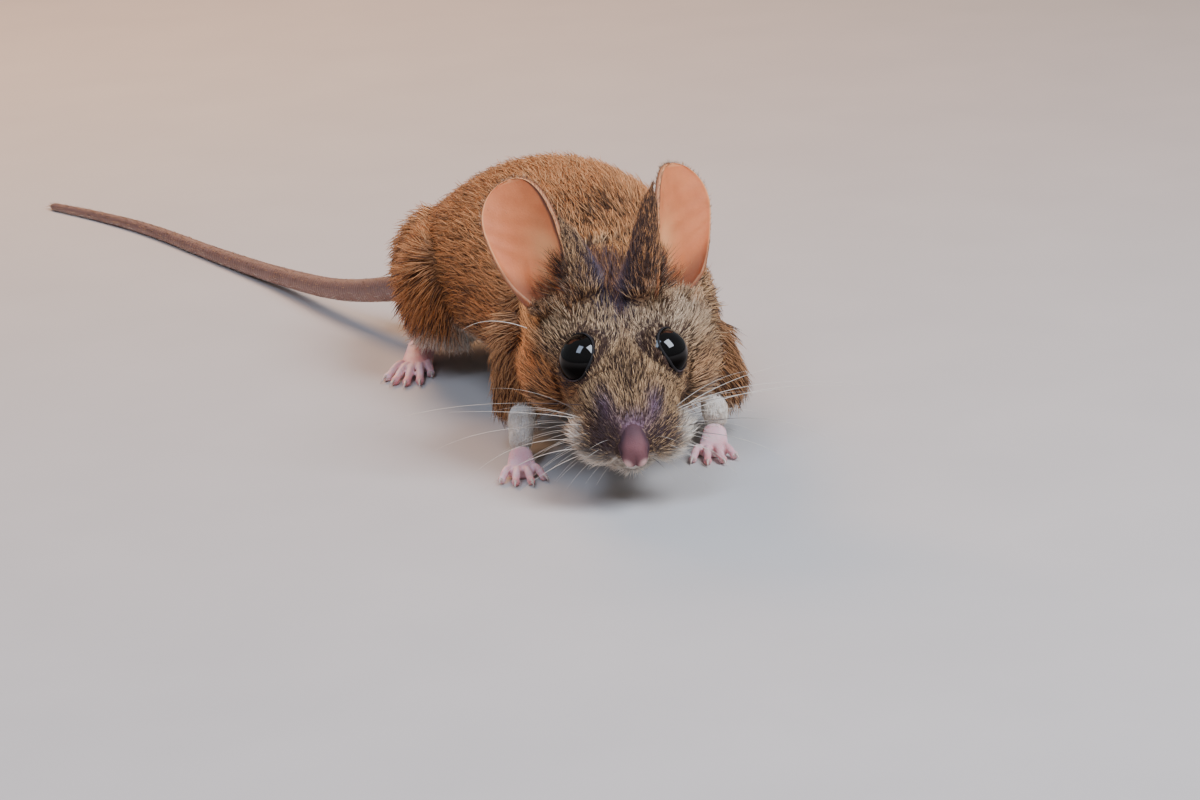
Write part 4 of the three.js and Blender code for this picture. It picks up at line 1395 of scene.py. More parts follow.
@dataclass
class Skin:
    """One skin over the whole animal: the furred body, and the bare ears, nose, paws and tail joined to it.

    Attributes:
        body: the furred forms.
        voxel: the size of the furred skin's quads.
        even: how often that skin is evened out.
        face_share, face_reach: how far the face takes part in this, and over which distances from the tip of
            the nose this rises to 1.
        lowest: the furred skin's least height over the floor.
        pieces: the stretches of skin.
    """

    body: Body
    voxel: float = 0.4
    even: int = 60
    face_share: float = 0.3
    face_reach: Pair = (12, 20)
    lowest: float = 0.3
    pieces: dict[Flesh, list[Surface]] = field(default_factory=dict)

    def build(self) -> None:
        """Makes the stretches of skin, each as a closed surface that ends inside its neighbour."""
        furred = remeshed(self.body.surfaces(), self.voxel)
        rising = ease(np.linalg.norm(HEAD.into(furred.points), axis=1), *self.face_reach)
        share = self.face_share + (1 - self.face_share) * rising
        furred = smoothed(furred, self.even, share)
        for eye in EYES:
            furred.points = eye.settle(furred.points)
        furred.points[:, 2] = np.maximum(furred.points[:, 2], self.lowest)
        self.pieces = {
            Flesh.FURRED: [furred],
            Flesh.EAR: [ear.surface() for ear in EARS],
            Flesh.NOSE: [NosePad().surface()],
            Flesh.PAW: [leg.paw() for leg in (*FORELEGS, *HINDLEGS)],
            Flesh.TAIL: [Tail().surface()],
            Flesh.LID: [eye.lids() for eye in EYES],
        }

    def furred(self) -> Surface:
        """The furred stretch."""
        return self.pieces[Flesh.FURRED][0]

    def object(self, fields: Fields, finishes: dict[Flesh, bpy.types.Material]) -> bpy.types.Object:
        """Joins the stretches into one piece with its markings and finishes.

        Args:
            fields: the coat's fields on the furred stretch.
            finishes: a material for each kind of flesh.

        Returns:
            The skin.
        """
        surfaces, kinds = [], []
        for kind, made in self.pieces.items():
            surfaces += made
            kinds += [kind] * len(made)
        whole = joined(surfaces)
        piece = mesh_object("skin", whole)
        count = len(whole.points)
        for name, values in (*fields.masks.items(), *whole.marks.items()):
            put_attribute(piece, name, np.concatenate([values, np.zeros(count - len(values))]))
        for kind in Flesh:
            piece.data.materials.append(finishes[kind])
        starts = np.cumsum([0] + [len(s.points) for s in surfaces[:-1]])
        corner = np.zeros(len(piece.data.loops), np.int32)
        piece.data.loops.foreach_get("vertex_index", corner)
        first = np.zeros(len(piece.data.polygons), np.int32)
        piece.data.polygons.foreach_get("loop_start", first)
        owner = np.searchsorted(starts, corner[first], side="right") - 1
        index = np.array([kind.value for kind in kinds])[owner]
        piece.data.polygons.foreach_set("material_index", index.astype(np.int32))
        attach(piece, BODY)
        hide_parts(*(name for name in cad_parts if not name.startswith("eye_")))
        return piece


# ---- the coat


PATCH = 0.003  # the size of a tuft's patch on the map
SEAM = 0.05  # corners further apart on the map than this lie on both sides of a seam


@dataclass
class Roots:
    """Where tufts grow, and how: one row for each tuft, lengths in millimetres."""

    at: Array
    normal: Array
    lie: Array
    growth: Array
    map: Array
    masks: dict[str, Array]

    @staticmethod
    def together(several: list[Roots]) -> Roots:
        """Several sets of roots as one."""
        names = {name for roots in several for name in roots.masks}
        masks = {name: np.concatenate([roots.masks.get(name, np.zeros(len(roots.at))) for roots in several])
                 for name in sorted(names)}
        columns = [np.concatenate([getattr(roots, name) for roots in several])
                   for name in ("at", "normal", "lie", "growth", "map")]
        return Roots(*columns, masks)

    def keep(self, wanted: Array) -> Roots:
        """Only the wanted rows."""
        return Roots(self.at[wanted], self.normal[wanted], self.lie[wanted], self.growth[wanted],
                     self.map[wanted], {n: v[wanted] for n, v in self.masks.items()})


def scattered(surface: Surface, fields: Fields, chosen: Array, chart: Array, seed: int) -> Roots:
    """Scatters roots over chosen triangles, as densely as the coat grows there.

    Args:
        surface: the skin.
        fields: the coat's fields at its points.
        chosen: for each of its triangles, whether roots grow on it.
        chart: the place of each of its points on an unwrap of the skin.
        seed: of the draws.

    Returns:
        The roots.
    """
    draws = np.random.default_rng(seed)
    tri = surface.triangles()[chosen]
    a, b, c = (surface.points[tri[:, k]] for k in range(3))
    area = np.linalg.norm(np.cross(b - a, c - a), axis=1) / 2
    wanted = area * fields.growth[tri, 4].mean(1)
    total = int(wanted.sum())
    reached = np.cumsum(wanted)
    face = np.searchsorted(reached, (np.arange(total) + draws.random(total)) / total * reached[-1])
    face = np.minimum(face, len(tri) - 1)
    p, q = draws.random((2, total))
    p, q = np.where(p + q > 1, 1 - p, p), np.where(p + q > 1, 1 - q, q)
    share = np.stack([1 - p - q, p, q], 1)
    corner = tri[face]

    def mixed(values: Array) -> Array:
        """Values of the corners, shared out at the roots."""
        if values.ndim == 1:
            return (values[corner] * share).sum(1)
        return (values[corner] * share[..., None]).sum(1)

    normal, lie, place = unit(mixed(surface.normals())), mixed(fields.lie), mixed(chart)
    across_seam = np.ptp(chart[corner], axis=1).max(1) > SEAM
    place = np.where(across_seam[:, None], chart[corner[:, 0]], place)
    return Roots(mixed(surface.points), normal, unit(lie - normal * (lie * normal).sum(1)[:, None]),
                 mixed(fields.growth), place, {name: mixed(values) for name, values in fields.masks.items()})


@dataclass(frozen=True)
class Cut:
    """How a tuft is cut: the shares of its length at its rings, and how wide each ring is.

    A tuft starts and ends in a point and has rings of three points between: a thin blade with a low ridge.
    """

    stops: tuple[float, ...]
    widths: tuple[float, ...]
    ridge: float = 0.55

    def faces(self) -> list[tuple[int, int, int]]:
        """Triangles of one tuft: point 0 is the root, the last point the tip."""
        rings = len(self.stops)
        made = [(0, 1 + (k + 1) % 3, 1 + k) for k in range(3)]
        for r in range(rings - 1):
            for k in range(3):
                here, after = 1 + 3 * r + k, 1 + 3 * r + (k + 1) % 3
                made += [(here, after, after + 3), (here, after + 3, here + 3)]
        last = 3 * rings + 1
        made += [(last - 3 + k, last - 3 + (k + 1) % 3, last) for k in range(3)]
        return made

    def patch(self) -> Array:
        """Where each corner of each triangle lies in a tuft's patch of the map, from 0 to 1 both ways."""
        stops = (0.0, *self.stops, 1.0)
        made = []
        for triangle in self.faces():
            columns = [(v - 1) % 3 for v in triangle if 0 < v < 3 * len(self.stops) + 1]
            low = 2 if set(columns) == {0, 2} else min(columns)
            for v in triangle:
                row = 0 if v == 0 else len(stops) - 1 if v > 3 * len(self.stops) else 1 + (v - 1) // 3
                column = low + 0.5 if row in (0, len(stops) - 1) else low + ((v - 1) % 3 - low) % 3
                made.append((column / 3, stops[row]))
        return np.array(made)


class TuftCut(Enum):
    """Cuts of tufts: short hair has one ring, longer hair two."""

    SHORT = Cut((0.42,), (1.0,))
    LONG = Cut((0.3, 0.68), (1.0, 0.72))


@dataclass(frozen=True)
class TuftWay:
    """How tufts vary from one to the next.

    Attributes:
        stray: how far they turn from the lie.
        uneven: the spread of their lengths.
        sink: how deep the root starts.
        clump: how far neighbours' tips are drawn together, against the length.
        clump_size: the size of a clump.
        streak, streak_reach: the width and half the length of streaks of one tone, against a tuft's own.
        own_tone: how far a tuft's tone is its own, against its streak's.
    """

    stray: float = 0.16
    uneven: float = 0.22
    sink: float = 0.12
    clump: float = 0.07
    clump_size: float = 1.3
    streak: float = 1.6
    streak_reach: float = 0.6
    own_tone: float = 0.6


def combed(name: str, roots: Roots, cut: Cut, way: TuftWay, seed: int) -> bpy.types.Object:
    """Makes one coat piece: a blade on every root, bent along the lie.

    A tuft's middle line is root + lie * L * t + normal * L * (a t - (a - h) t^2), where L is its length, a
    its rise at the root and h the height of its tip. Its rings lie across the lie.

    Args:
        name: the piece's name.
        roots: where the tufts grow, and how.
        cut: how each is cut.
        way: how they vary.
        seed: of the draws.

    Returns:
        The piece, with its markings, the share along each tuft, each tuft's tone, and the map OFBake.
    """
    draws = np.random.default_rng(seed)
    count = len(roots.at)
    length, width, rise, height = roots.growth[:, :4].T
    length = length * (1 + way.uneven * draws.normal(size=count).clip(-2, 2))
    width = width * draws.uniform(0.75, 1.25, count)
    rise = rise * draws.uniform(0.6, 1.4, count)
    height = height * draws.uniform(0.6, 1.5, count)
    side = np.cross(roots.normal, roots.lie)
    lie = unit(roots.lie + side * (way.stray * draws.normal(size=count))[:, None])
    side = np.cross(roots.normal, lie)
    pull = ripple(roots.at, way.clump_size, seed=seed + 1) * way.clump
    stops = np.array([0.0, *cut.stops, 1.0])
    t = stops[None, :, None]
    up = rise[:, None, None] * t - (rise - height)[:, None, None] * t * t
    line = (roots.at[:, None] - roots.normal[:, None] * way.sink
            + length[:, None, None] * (lie[:, None] * t + roots.normal[:, None] * up + pull[:, None] * t * t))
    rings = []
    for k, wide in enumerate(cut.widths, start=1):
        half, middle = (width * wide / 2)[:, None], line[:, k]
        rings += [middle - side * half, middle + side * half, middle + roots.normal * half * cut.ridge * 2]
    points = np.stack([line[:, 0], *rings, line[:, -1]], 1)
    each = points.shape[1]
    faces = (np.array(cut.faces())[None] + np.arange(count)[:, None, None] * each).reshape(-1, 3)
    patch = cut.patch()
    made = Surface(points.reshape(-1, 3), [faces])
    if made.volume() <= 0:
        made = Surface(made.points, [faces[:, ::-1]])
        patch = patch.reshape(-1, 3, 2)[:, ::-1].reshape(-1, 2)
    piece = mesh_object(name, made)
    for mask, values in roots.masks.items():
        put_attribute(piece, mask, np.repeat(values, each))
    along = np.concatenate([[0.0], np.repeat(cut.stops, 3), [1.0]])
    put_attribute(piece, "along", np.tile(along, count))
    tone = streaks(roots.at, roots.lie, way.streak * width.mean(), way.streak_reach * length.mean())
    put_attribute(piece, "tone", np.repeat(ranked(tone + way.own_tone * draws.random(count)), each))
    place_patches(piece, roots.map, patch)
    return piece


def place_patches(piece: bpy.types.Object, places: Array, patch: Array) -> None:
    """Gives a coat piece its map: each tuft's patch lies at its root's place on the unwrap of the skin."""
    layer = piece.data.uv_layers.new(name="OFBake", do_init=False)
    spread = np.clip(places, 0, 1) * (1 - 2 * PATCH) + PATCH / 2
    uv = spread[:, None] + patch[None] * PATCH
    layer.data.foreach_set("uv", np.ascontiguousarray(uv, np.float32).ravel())


@dataclass(frozen=True)
class Region:
    """A coat piece over part of the furred skin: the forms it grows on, and a range of a measure along them.

    Attributes:
        name: the piece's name.
        forms: what the names of its forms start with.
        span: the range of the distance from the nose, in millimetres, or of the share of the path elsewhere.
        cut: how its tufts are cut.
        slot: the name of a material slot; not used.
    """

    name: str
    forms: tuple[str, ...]
    span: Pair
    cut: TuftCut
    slot: str


SCATTER_SEED = 100
COMB_SEED = 200
REGIONS = (
    Region("coat_muzzle", FACE_FORMS, (0, 9), TuftCut.SHORT, "fur_face"),
    Region("coat_face", FACE_FORMS, (9, 17), TuftCut.SHORT, "fur_face"),
    Region("coat_crown", FACE_FORMS, (17, 60), TuftCut.SHORT, "fur_face"),
    Region("coat_ears", ("ear_",), (-1, 2), TuftCut.SHORT, "fur_face"),
    Region("coat_neck", ("trunk",), (-1, 0.3), TuftCut.LONG, "fur_back"),
    Region("coat_chest", ("trunk",), (0.3, 0.46), TuftCut.LONG, "fur_back"),
    Region("coat_loin", ("trunk",), (0.46, 0.65), TuftCut.LONG, "fur_back"),
    Region("coat_rump", ("trunk",), (0.65, 2), TuftCut.LONG, "fur_back"),
    Region("coat_forelegs", ("upper_arm", "forearm"), (-1, 2), TuftCut.LONG, "fur_pale"),
    Region("coat_haunches", ("thigh", "shank"), (-1, 2), TuftCut.LONG, "fur_back"),
)


class Coat:
    """All coat pieces, combed over the skin."""

    def __init__(self, skin: Skin, body: Body, fields: Fields, finish: bpy.types.Material) -> None:
        """Keeps what the tufts grow on."""
        self.skin, self.body, self.fields, self.finish = skin, body, fields, finish
        self.way = TuftWay()

    def _measure(self, points: Array) -> Array:
        """What divides regions: on the face the distance from the nose, elsewhere the share of the path."""
        face = np.isin(self.fields.nearest, [self.body.names.index(name) for name in FACE_FORMS])
        return np.where(face, np.linalg.norm(HEAD.into(points), axis=1), self.fields.share)

    def regions(self) -> list[bpy.types.Object]:
        """A coat piece for each region of the furred skin."""
        surface = self.skin.furred()
        triangles = surface.triangles()
        measure = self._measure(surface.points)
        here = measure[triangles].mean(1)
        nearest = self.fields.nearest[triangles[:, 0]]
        made = []
        for number, region in enumerate(REGIONS):
            members = [k for k, name in enumerate(self.body.names) if name.startswith(region.forms)]
            chosen = np.isin(nearest, members) & (here >= region.span[0]) & (here < region.span[1])
            rank = np.searchsorted(members, self.fields.nearest).clip(0, len(members) - 1)
            low, high = measure[triangles[chosen]].min(), measure[triangles[chosen]].max()
            split = 1 if region.forms == FACE_FORMS else len(members)
            across = (self.fields.turn + (rank if split > 1 else 0)) / split
            chart = np.stack([across, (measure - low) / (high - low)], 1)
            roots = self.clear(scattered(surface, self.fields, chosen, chart, SCATTER_SEED + number))
            piece = combed(region.name, roots, region.cut.value, self.way, COMB_SEED + number)
            made.append(self.dress(piece))
        return made

    def down(self, name: str, parts: tuple[Ear | Leg | Tail, ...], slot: str, seed: int) -> bpy.types.Object:
        """One piece of fine hairs over bare parts; each part has its own column of the map."""
        grown = []
        for number, part in enumerate(parts):
            surface, fields, chart = part.down()
            chart = (chart + [number, 0]) / [len(parts), 1]
            chosen = np.ones(len(surface.triangles()), bool)
            grown.append(scattered(surface, fields, chosen, chart, seed + number))
        return self.dress(combed(name, Roots.together(grown), TuftCut.SHORT.value, self.way, seed))

    @staticmethod
    def clear(roots: Roots) -> Roots:
        """Leaves out the tufts that would start or end on an eye or under the nose pad."""
        wanted = np.ones(len(roots.at), bool)
        for reach in (0.0, 0.55, 1.0):
            local = HEAD.into(roots.at + roots.lie * roots.growth[:, :1] * reach)
            for eye in EYES:
                out = local - eye.middle()
                far = np.linalg.norm(out, axis=1)
                axis, back, top = eye.axes()
                away = np.arccos(np.clip((out @ axis) / far, -1, 1))
                rim = eye.rim_angle(np.arctan2(out @ top, out @ back))
                wanted &= (far > eye.radius + 0.3) | (away > rim + 0.1)
            wanted &= ~NosePad().covers(local)
        return roots.keep(wanted)

    def dress(self, piece: bpy.types.Object) -> bpy.types.Object:
        """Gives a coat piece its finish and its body."""
        piece.data.materials.append(self.finish)
        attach(piece, BODY)
        LOG.info("%s: %d triangles", piece.name, len(piece.data.polygons))
        return piece


# ---- whiskers and claws


@dataclass(frozen=True)
class Whisker:
    """A stiff tapering hair from the head, through a middle point, to its tip, in the working frame."""

    root: Point
    middle: Point
    tip: Point
    thick: float = 0.09

    SIDES = 5
    STEPS = 22
    TAPER = 0.85

    def surface(self) -> Surface:
        """A thin tube along the parabola through the three points; it tapers as 1 - TAPER t."""
        t = np.linspace(0, 1, self.STEPS)[:, None]
        a, b, c = (np.array(p) for p in (self.root, self.middle, self.tip))
        line = a * (1 - t) * (1 - 2 * t) + 4 * b * t * (1 - t) + c * t * (2 * t - 1)
        ahead = unit(np.gradient(line, axis=0))
        side = unit(np.cross(ahead, (0, 0, 1)))
        up = np.cross(side, ahead)
        angle = np.linspace(0, 2 * np.pi, self.SIDES, endpoint=False)
        radius = self.thick / 2 * (1 - self.TAPER * t)
        return closed_tube(line[:, None] + spokes(side, up, angle) * radius[:, None])


@dataclass(frozen=True)
class Whiskers:
    """The whiskers of both pads, one over an eye, and short ones that fill the pads.

    Attributes:
        chosen: the long whiskers.
        rows, columns: of short ones on a pad.
        first, spread: the place of a pad's first one on the left in the head's frame, and how far the last
            one lies from it.
        waist: how much closer to the middle the outer rows are, and the share of the rows that isn't.
        sweep, fall: angles back and down, in degrees: the first one's, and what is added up to the last.
        short, uneven: the length in the first column and what is added up to the last, and its spread.
        droop: of a tip, against the length.
        fine: their thickness.
    """

    chosen: tuple[Whisker, ...] = (
        Whisker((-4.0, -4.5, 11.3), (-17.3, -1.5, 11.2), (-27.8, 1.5, 8.7)),
        Whisker((-4.9, -6.0, 9.0), (-14.1, -4.0, 8.9), (-21.8, -2.0, 6.2)),
        Whisker((-5.3, -6.5, 8.0), (-12.5, -5.0, 7.0), (-18.7, -3.5, 2.6)),
        Whisker((-4.9, -7.0, 7.2), (-10.9, -6.0, 5.9), (-16.2, -5.0, 2.4)),
        Whisker((-4.3, -7.0, 6.7), (-8.5, -6.5, 4.9), (-12.2, -6.0, 2.2)),
        Whisker((-10.5, 4.0, 18.2), (-14.6, 3.5, 19.4), (-17.8, 3.0, 18.6)),
        Whisker((-4.3, -5.0, 9.8), (-11.8, -3.0, 10.5), (-19.6, -1.0, 10.4)),
        Whisker((4.6, -4.5, 9.9), (14.7, -2.4, 12.0), (26.8, 0.1, 10.5)),
        Whisker((5.0, -5.0, 9.5), (14.9, -3.0, 11.5), (25.0, -1.0, 10.8)),
        Whisker((6.9, -6.0, 8.9), (16.4, -4.0, 8.3), (23.8, -2.0, 4.0)),
        Whisker((6.9, -6.0, 8.1), (12.9, -5.0, 6.5), (17.9, -4.0, 3.5)),
        Whisker((6.6, -3.5, 10.4), (12.2, -2.0, 12.6), (19.1, 0.0, 13.7)),
        Whisker((6.6, -7.0, 6.9), (9.5, -6.5, 5.7), (11.9, -6.0, 2.8), 0.1),
        Whisker((5.0, -4.0, 10.1), (12.1, -3.0, 11.1), (19.4, -2.0, 11.2)),
    )
    rows: int = 5
    columns: int = 5
    first: Point = (2.6, 1.9, 0.9)
    spread: Point = (3.0, 4.6, -3.2)
    waist: Pair = (0.9, 0.45)
    sweep: Pair = (-25, 55)
    fall: Pair = (-8, 48)
    short: Pair = (3.5, 6.5)
    uneven: Pair = (0.8, 1.25)
    droop: Point = (0, 0.1, -0.16)
    fine: float = 0.06

    def pad(self, side: Side) -> list[Whisker]:
        """Short whiskers in rows on one pad: they fan out from front to back, and hang lower row by row."""
        made = []
        draws = np.random.default_rng(31 + side.value)
        for row in range(self.rows):
            for column in range(self.columns):
                r, c = row / (self.rows - 1), column / (self.columns - 1)
                x = (self.first[0] + self.spread[0] * math.sqrt(c)
                     - self.waist[0] * abs(r - self.waist[1]))
                y, z = self.first[1] + self.spread[1] * c, self.first[2] + self.spread[2] * r
                sweep = math.radians(self.sweep[0] + self.sweep[1] * c)
                fall = math.radians(self.fall[0] + self.fall[1] * r)
                length = (self.short[0] + self.short[1] * c) * draws.uniform(*self.uneven)
                way = HEAD.turn() @ np.array([side.value * math.cos(sweep) * math.cos(fall),
                                              math.sin(sweep) * math.cos(fall), -math.sin(fall)])
                root = HEAD.out(np.array([side.value * x, y, z]))
                droop = np.array(self.droop) * length
                made.append(Whisker(tuple(root), tuple(root + way * length * 0.5 - droop * 0.1),
                                    tuple(root + way * length + droop), self.fine))
        return made

    def surfaces(self) -> list[Surface]:
        """Every whisker's surface."""
        everything = [*self.chosen, *self.pad(Side.RIGHT), *self.pad(Side.LEFT)]
        return [whisker.surface() for whisker in everything]

    def object(self, finish: bpy.types.Material) -> bpy.types.Object:
        """All whiskers as one piece."""
        surfaces = self.surfaces()
        piece = mesh_object("whiskers", joined(surfaces))
        along = np.concatenate([np.repeat(np.linspace(0, 1, Whisker.STEPS), Whisker.SIDES), [0.0, 1.0]])
        put_attribute(piece, "along", np.tile(along, len(surfaces)))
        draws = np.random.default_rng(5)
        put_attribute(piece, "tone", np.repeat(draws.random(len(surfaces)), len(along)))
        piece.data.materials.append(finish)
        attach(piece, BODY)
        return piece


# ---- materials


class Value:
    """A number in a material; arithmetic on it adds Math nodes."""

    def __init__(self, nodes: Nodes, socket: bpy.types.NodeSocket) -> None:
        """Wraps an output socket."""
        self.nodes, self.socket = nodes, socket

    def __add__(self, other: Value | float) -> Value:
        """self + other."""
        return self.nodes.math("ADD", self, other)

    def __radd__(self, other: float) -> Value:
        """other + self."""
        return self.nodes.math("ADD", other, self)

    def __sub__(self, other: Value | float) -> Value:
        """self - other."""
        return self.nodes.math("SUBTRACT", self, other)

    def __rsub__(self, other: float) -> Value:
        """other - self."""
        return self.nodes.math("SUBTRACT", other, self)

    def __mul__(self, other: Value | float) -> Value:
        """self * other."""
        return self.nodes.math("MULTIPLY", self, other)

    def __rmul__(self, other: float) -> Value:
        """other * self."""
        return self.nodes.math("MULTIPLY", other, self)

    def eased(self, start: Value | float, end: Value | float) -> Value:
        """A smooth step from 0 at start to 1 at end."""
        node = self.nodes.add("ShaderNodeMapRange", {"interpolation_type": "SMOOTHSTEP"},
                              {0: self, 1: start, 2: end, 3: 0.0, 4: 1.0})
        return Value(self.nodes, node.outputs[0])


class Nodes:
    """A material's node tree with one Principled shader."""

    def __init__(self, name: str) -> None:
        """Makes the material, empty but for its shader and output."""
        self.material = bpy.data.materials.new(name)
        self.material.use_nodes = True
        self.tree = self.material.node_tree
        self.shader = next(n for n in self.tree.nodes if n.type == "BSDF_PRINCIPLED")

    def add(self, kind: str, settings: dict[str, object] | None = None,
            sockets: dict[int | str, object] | None = None) -> bpy.types.Node:
        """Adds a node.

        Args:
            kind: its type.
            settings: its properties, set first.
            sockets: a value or a link for each of its inputs, by name or number.

        Returns:
            The node.
        """
        node = self.tree.nodes.new(kind)
        for key, value in (settings or {}).items():
            setattr(node, key, value)
        for key, value in (sockets or {}).items():
            self.feed(node.inputs[key], value)
        return node

    def feed(self, socket: bpy.types.NodeSocket, value: object) -> None:
        """Links a socket, or sets its own value."""
        if isinstance(value, Value):
            self.tree.links.new(value.socket, socket)
        elif isinstance(value, bpy.types.NodeSocket):
            self.tree.links.new(value, socket)
        elif socket.type == "RGBA":
            socket.default_value = (*value[:3], 1.0)
        else:
            socket.default_value = value

    def math(self, operation: str, *values: Value | float) -> Value:
        """A Math node on one to three values."""
        node = self.add("ShaderNodeMath", {"operation": operation}, dict(enumerate(values)))
        return Value(self, node.outputs[0])

    def attribute(self, name: str) -> Value:
        """A number stored on the mesh."""
        return Value(self, self.add("ShaderNodeAttribute", {"attribute_name": name}).outputs["Fac"])

    def mix(self, share: Value | float, a: object, b: object) -> bpy.types.NodeSocket:
        """A colour between two others."""
        node = self.add("ShaderNodeMix", {"data_type": "RGBA"}, {0: share, 6: a, 7: b})
        return node.outputs[2]

    def noise(self, scale: float, detail: float = 3.0, stretch: Point = (1, 1, 1)) -> Value:
        """Noise in object coordinates, with the number of its waves to a millimetre and a stretch."""
        place = self.add("ShaderNodeTexCoord").outputs["Object"]
        mapped = self.add("ShaderNodeMapping", {}, {"Vector": place, "Scale": stretch}).outputs[0]
        node = self.add("ShaderNodeTexNoise", {}, {"Vector": mapped, "Scale": scale / MM, "Detail": detail})
        return Value(self, node.outputs["Fac"])

    def bump(self, height: Value, depth: float) -> None:
        """Adds relief of a depth in millimetres to the shader's normal."""
        node = self.add("ShaderNodeBump", {}, {"Height": height, "Distance": depth * MM, "Strength": 1.0})
        self.feed(self.shader.inputs["Normal"], node.outputs[0])

    def finish(self, **inputs: object) -> bpy.types.Material:
        """Sets the shader's inputs, whose names are written with _ for a space, and gives the material."""
        for key, value in inputs.items():
            self.feed(self.shader.inputs[key.replace("_", " ")], value)
        return self.material


def tint(red: int, green: int, blue: int) -> Colour:
    """A colour given as it is seen, 0 to 255, in linear light."""
    return tuple(v / 3294.6 if v <= 10 else ((v / 255 + 0.055) / 1.055) ** 2.4 for v in (red, green, blue))


@dataclass(frozen=True)
class FurFinish:
    """Banded hair: a dark root, partly the hair's own dark base and partly painted shade between the tufts, a
    light or dark band by the tuft, and some dark tips, under the markings.
    """

    tan: Colour = tint(226, 182, 134)
    rust: Colour = tint(214, 134, 74)
    frost: Colour = tint(246, 222, 194)
    white: Colour = tint(246, 238, 226)
    brown: Colour = tint(72, 47, 35)
    slate: Colour = tint(86, 75, 93)
    # the roots' colours: the hair's own darker base, deepened as painted shade for the gaps between tufts
    root: Colour = tint(62, 46, 40)
    soft_root: Colour = tint(128, 86, 56)
    pale_root: Colour = tint(216, 206, 198)
    bare: Colour = tint(116, 84, 98)
    lilac: Colour = tint(158, 130, 148)
    roughness: float = 0.52

    def colour(self, nodes: Nodes, along: Value | float, tone: Value) -> bpy.types.NodeSocket:
        """The hair's colour.

        Args:
            nodes: the material.
            along: the share along the tuft.
            tone: the tuft's own number from 0 to 1.

        Returns:
            The colour's socket.
        """
        names = ("under", "rust", "dusk", "slate", "frost", "bare", "soft")
        mask = {name: nodes.attribute(name) for name in names}
        light = nodes.mix(mask["rust"], self.tan, self.rust)
        light = nodes.mix(mask["frost"], light, self.frost)
        light = nodes.mix(mask["bare"], light, self.lilac)
        other = nodes.math("FRACT", tone * 7.31)
        light = nodes.mix(other * 0.4, light, self.brown)
        dark = nodes.mix(mask["slate"] * other.eased(0.05, 0.4), self.brown, self.slate)
        share = tone + mask["dusk"] * 0.62 + mask["slate"] * 0.6 - mask["frost"] * 0.35 - mask["soft"] * 0.16
        band = nodes.mix(share.eased(0.56, 0.9), light, dark)
        if isinstance(along, Value):
            tip = along.eased(0.7, 0.97) * other.eased(0.45, 0.8) * (0.8 - mask["soft"] * 0.4)
            band = nodes.mix(tip, band, self.brown)
        furred = nodes.mix(mask["under"], band, nodes.mix(other * 0.35, self.white, self.tan))
        root = nodes.mix(mask["soft"], self.root, self.soft_root)
        root = nodes.mix(mask["under"], root, self.pale_root)
        root = nodes.mix(mask["bare"], root, self.bare)
        # darker towards the root: partly the hair's own banding, partly painted shade low in the coat
        if isinstance(along, Value):
            return nodes.mix(along.eased(0.05, 0.55), root, furred)
        return nodes.mix(along, root, furred)

    def on_tufts(self) -> bpy.types.Material:
        """The finish of the tufts."""
        nodes = Nodes("fur_tufts")
        colour = self.colour(nodes, nodes.attribute("along"), nodes.attribute("tone"))
        return nodes.finish(Base_Color=colour, Roughness=self.roughness, Specular_IOR_Level=0.35)

    def on_skin(self) -> bpy.types.Material:
        """The finish of the skin under the tufts: the same markings, mottled and rough."""
        nodes = Nodes("fur_skin")
        grain = nodes.noise(3.2, 4.0)
        nodes.bump(grain, 0.25)
        # the skin between the tufts is mostly the roots' colour, partly painted shade under the coat
        colour = self.colour(nodes, 0.35, grain.eased(0.25, 0.75))
        return nodes.finish(Base_Color=colour, Roughness=0.8, Specular_IOR_Level=0.2)


@dataclass(frozen=True)
class FleshFinish:
    """Bare skin: two tones parted by soft noise, two more where its marks say, which on the ears and nose
    include painted light and painted shade, and fine grain as relief.
    """

    name: str
    light: Colour
    deep: Colour
    accent: Colour
    shade: Colour
    grain: float
    relief: float
    roughness: float
    glow: float = 0.15
    rings: float = 0.0

    def material(self) -> bpy.types.Material:
        """The finish as a material."""
        nodes = Nodes(self.name)
        patches = nodes.noise(0.35, 3.0).eased(0.35, 0.7)
        fine = nodes.noise(self.grain, 4.0)
        colour = nodes.mix(patches * 0.6 + fine * 0.4, self.light, self.deep)
        colour = nodes.mix(nodes.attribute("accent"), colour, self.accent)
        colour = nodes.mix(nodes.attribute("shade"), colour, self.shade)
        height = fine
        if self.rings:
            ring = nodes.math("SINE", nodes.attribute("along_tail") * self.rings)
            height = fine + ring
            colour = nodes.mix(ring.eased(-1.0, 0.2), nodes.mix(0.45, colour, self.shade), colour)
        nodes.bump(height, self.relief)
        return nodes.finish(Base_Color=colour, Roughness=self.roughness + fine * 0.15,
                            Subsurface_Weight=self.glow, Subsurface_Radius=(1.0, 0.4, 0.25),
                            Subsurface_Scale=0.6 * MM)


